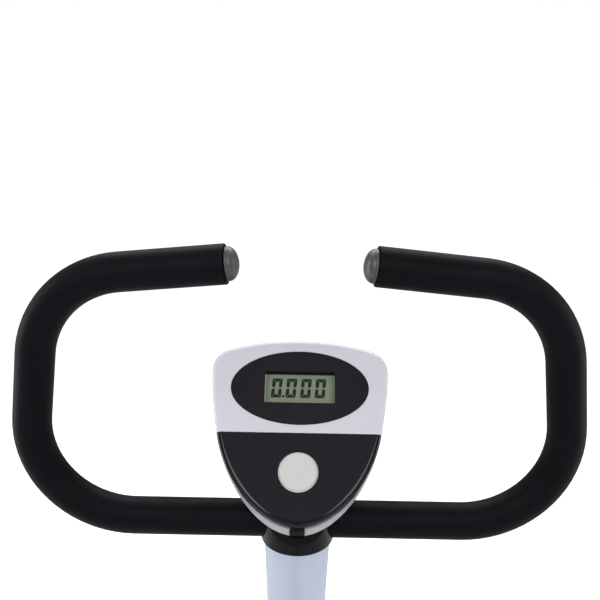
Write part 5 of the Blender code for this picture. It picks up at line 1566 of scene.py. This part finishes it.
def build_shroud_trim(side, sign, place):
    """The pinstripe in its groove, and the ring round the crank's axle."""
    stripe = shroud_band(0.0462, 0.0498, sign)
    heights = SHROUD_HALF - 1.2 * MM, SHROUD_HALF - 0.2 * MM
    trim = plate(f"shroud_pinstripe_{side}", stripe, *heights, place, ACCENT, 0.2 * MM, 2)
    add(trim, "frame", "light_grey_plastic")
    face = [(19, -2.6), (19, 1.6), (30, 1.2), (46, 0.6), (48, -0.4), (48, -0.8)]
    ring = eased([(radius * MM, SHROUD_HALF + rise * MM) for radius, rise in face], 0.8 * MM, 4)
    ring += [(20.5 * MM, SHROUD_HALF - 0.8 * MM), (20.5 * MM, SHROUD_HALF - 2.6 * MM)]
    boss = turned(f"crank_ring_{side}", ring, outward(CRANK_CENTRE, sign), ACCENT, 96, closed=True)
    add(boss, "frame", "light_grey_plastic")


# ---------------------------------------------------------------- CAD nodes that stay
FINISHES = {
    "crank_column": WHITE,
    "post_stub": WHITE,
    "spine_tube": WHITE,
    "flywheel_cradle": WHITE,
    "flywheel_axle": STEEL,
    "crank_bearing_cartridge": STEEL,
    "clamp_strap": STEEL,
    "circuit_board": BOARD,
    "battery": ACCENT,
    "sensor_lead": CABLE,
    "brake_cable": CABLE,
    "crank_axle": STEEL,
    "drive_pulley": MATT_BLACK,
    "drive_belt": RUBBER,
    "pedal_spindle_left": STEEL,
    "pedal_spindle_right": STEEL,
    "flywheel": IRON,
    "magnet_bracket": STEEL,
}


def finish_nodes():
    """Real finishes, soft edges and smooth shading on every CAD node that stays."""
    for name, material in FINISHES.items():
        node = NODES[name]
        for place in node.material_slots:
            place.material = material
        bevel_edges(node, 0.35 * MM, 2, 45)
        smooth(node.data, 38)
        weigh(node)


# ---------------------------------------------------------------- stage, light and camera
def floor_surface():
    """A pale studio floor that glows a little, so that it meets the white backdrop with no line."""
    material = surface("floor_white", (0.78, 0.78, 0.79), 0.7, vary=0.004, grain=40, bump=0.01)
    tree = material.node_tree
    shader = tree.nodes["Principled BSDF"]
    set_inputs(shader, {"Specular IOR Level": 0.1, "Emission Color": (1, 1, 1, 1)})
    glow = tree.nodes.new("ShaderNodeMath")
    glow.operation = "MULTIPLY_ADD"
    link(tree, tree.nodes.new("ShaderNodeLightPath").outputs["Is Camera Ray"], glow.inputs[0])
    glow.inputs[1].default_value = 0.60
    glow.inputs[2].default_value = 0.05
    link(tree, glow.outputs["Value"], shader.inputs["Emission Strength"])
    return material


def build_stage():
    """A floor, and a studio dome: bright overhead and low round the sides, darker between."""
    floor = block("studio_floor", (-40, -40, -0.02), (40, 40, -0.0005), ROW, floor_surface())
    world = bpy.data.worlds.new("studio")
    bpy.context.scene.world = world
    world.use_nodes = True
    tree = world.node_tree
    output = tree.nodes["World Output"]
    light = tree.nodes["Background"]
    backdrop = tree.nodes.new("ShaderNodeBackground")
    set_inputs(light, {"Strength": 1.0})
    set_inputs(backdrop, {"Color": (1, 1, 1, 1), "Strength": 1.0})
    coords = tree.nodes.new("ShaderNodeTexCoord").outputs["Generated"]
    parts = tree.nodes.new("ShaderNodeSeparateXYZ")
    link(tree, coords, parts.inputs["Vector"])
    bands = tree.nodes.new("ShaderNodeValToRGB")
    stops = bands.color_ramp.elements
    stops[0].position, stops[0].color = 0.0, (0.50, 0.51, 0.53, 1)
    stops[1].position, stops[1].color = 1.0, (0.55, 0.55, 0.57, 1)
    for position, value in ((0.08, 0.30), (0.38, 0.20), (0.62, 0.80), (0.84, 0.58)):
        stop = stops.new(position)
        stop.color = (value, value, value * 1.03, 1)
    link(tree, parts.outputs["Z"], bands.inputs["Fac"])
    link(tree, bands.outputs["Color"], light.inputs["Color"])
    path = tree.nodes.new("ShaderNodeLightPath")
    mix = tree.nodes.new("ShaderNodeMixShader")
    link(tree, path.outputs["Is Camera Ray"], mix.inputs["Fac"])
    link(tree, light.outputs["Background"], mix.inputs[1])
    link(tree, backdrop.outputs["Background"], mix.inputs[2])
    link(tree, mix.outputs["Shader"], output.inputs["Surface"])


def area_light(name, place, target, size, power):
    """A rectangular softbox that faces its target."""
    data = bpy.data.lights.new(name, "AREA")
    data.shape = "RECTANGLE"
    data.size, data.size_y = size
    data.energy = power
    lamp = new_object(name, data)
    lamp.location = place
    lamp.rotation_euler = (Vector(target) - Vector(place)).to_track_quat("-Z", "Y").to_euler()


def build_lights():
    """Two tall softboxes a little behind the grips, one high at the back, and two fills in front."""
    middle = (0, 0.0, 0.80)
    area_light("side_left", (-2.3, 0.7, 1.02), middle, (0.7, 2.0), 22)
    area_light("side_right", (2.3, 0.5, 1.02), middle, (0.7, 2.0), 15)
    area_light("overhead", (0, 1.5, 2.8), middle, (2.6, 1.4), 40)
    area_light("front_left", (-1.6, -2.4, 2.4), middle, (1.6, 1.6), 46)
    area_light("front_right", (1.6, -2.4, 2.4), middle, (1.6, 1.6), 40)


def build_camera():
    """The photograph's view: level with the grips, looking a little down at the console."""
    pitch, yaw, roll = radians(10.4), radians(0.37), radians(0.945)
    level = cos(pitch)
    ahead = Vector((-sin(yaw) * level, cos(yaw) * level, -sin(pitch)))
    right = ahead.cross(Z_AXIS).normalized()
    up = right.cross(ahead)
    tilted_right = right * cos(roll) + up * sin(roll)
    tilted_up = up * cos(roll) - right * sin(roll)
    data = bpy.data.cameras.new("camera")
    data.lens = 48
    data.sensor_width = 36
    data.clip_end = 60
    camera = new_object("camera", data)
    eye = BAR_CENTRE + Vector((0.0035, -0.692, 0.332))
    camera.matrix_world = axes_matrix(eye, tilted_right, tilted_up, -ahead)
    bpy.context.scene.camera = camera


build_handlebar()
build_console()
build_post()
build_clamp_knob()
build_tension_dial()
build_saddle()
build_seat_post()
build_seat_tube()
build_base()
build_wheels()
build_cranks()
build_shroud()
finish_nodes()
build_stage()
build_lights()
build_camera()
bpy.context.scene.view_settings.view_transform = "Standard"
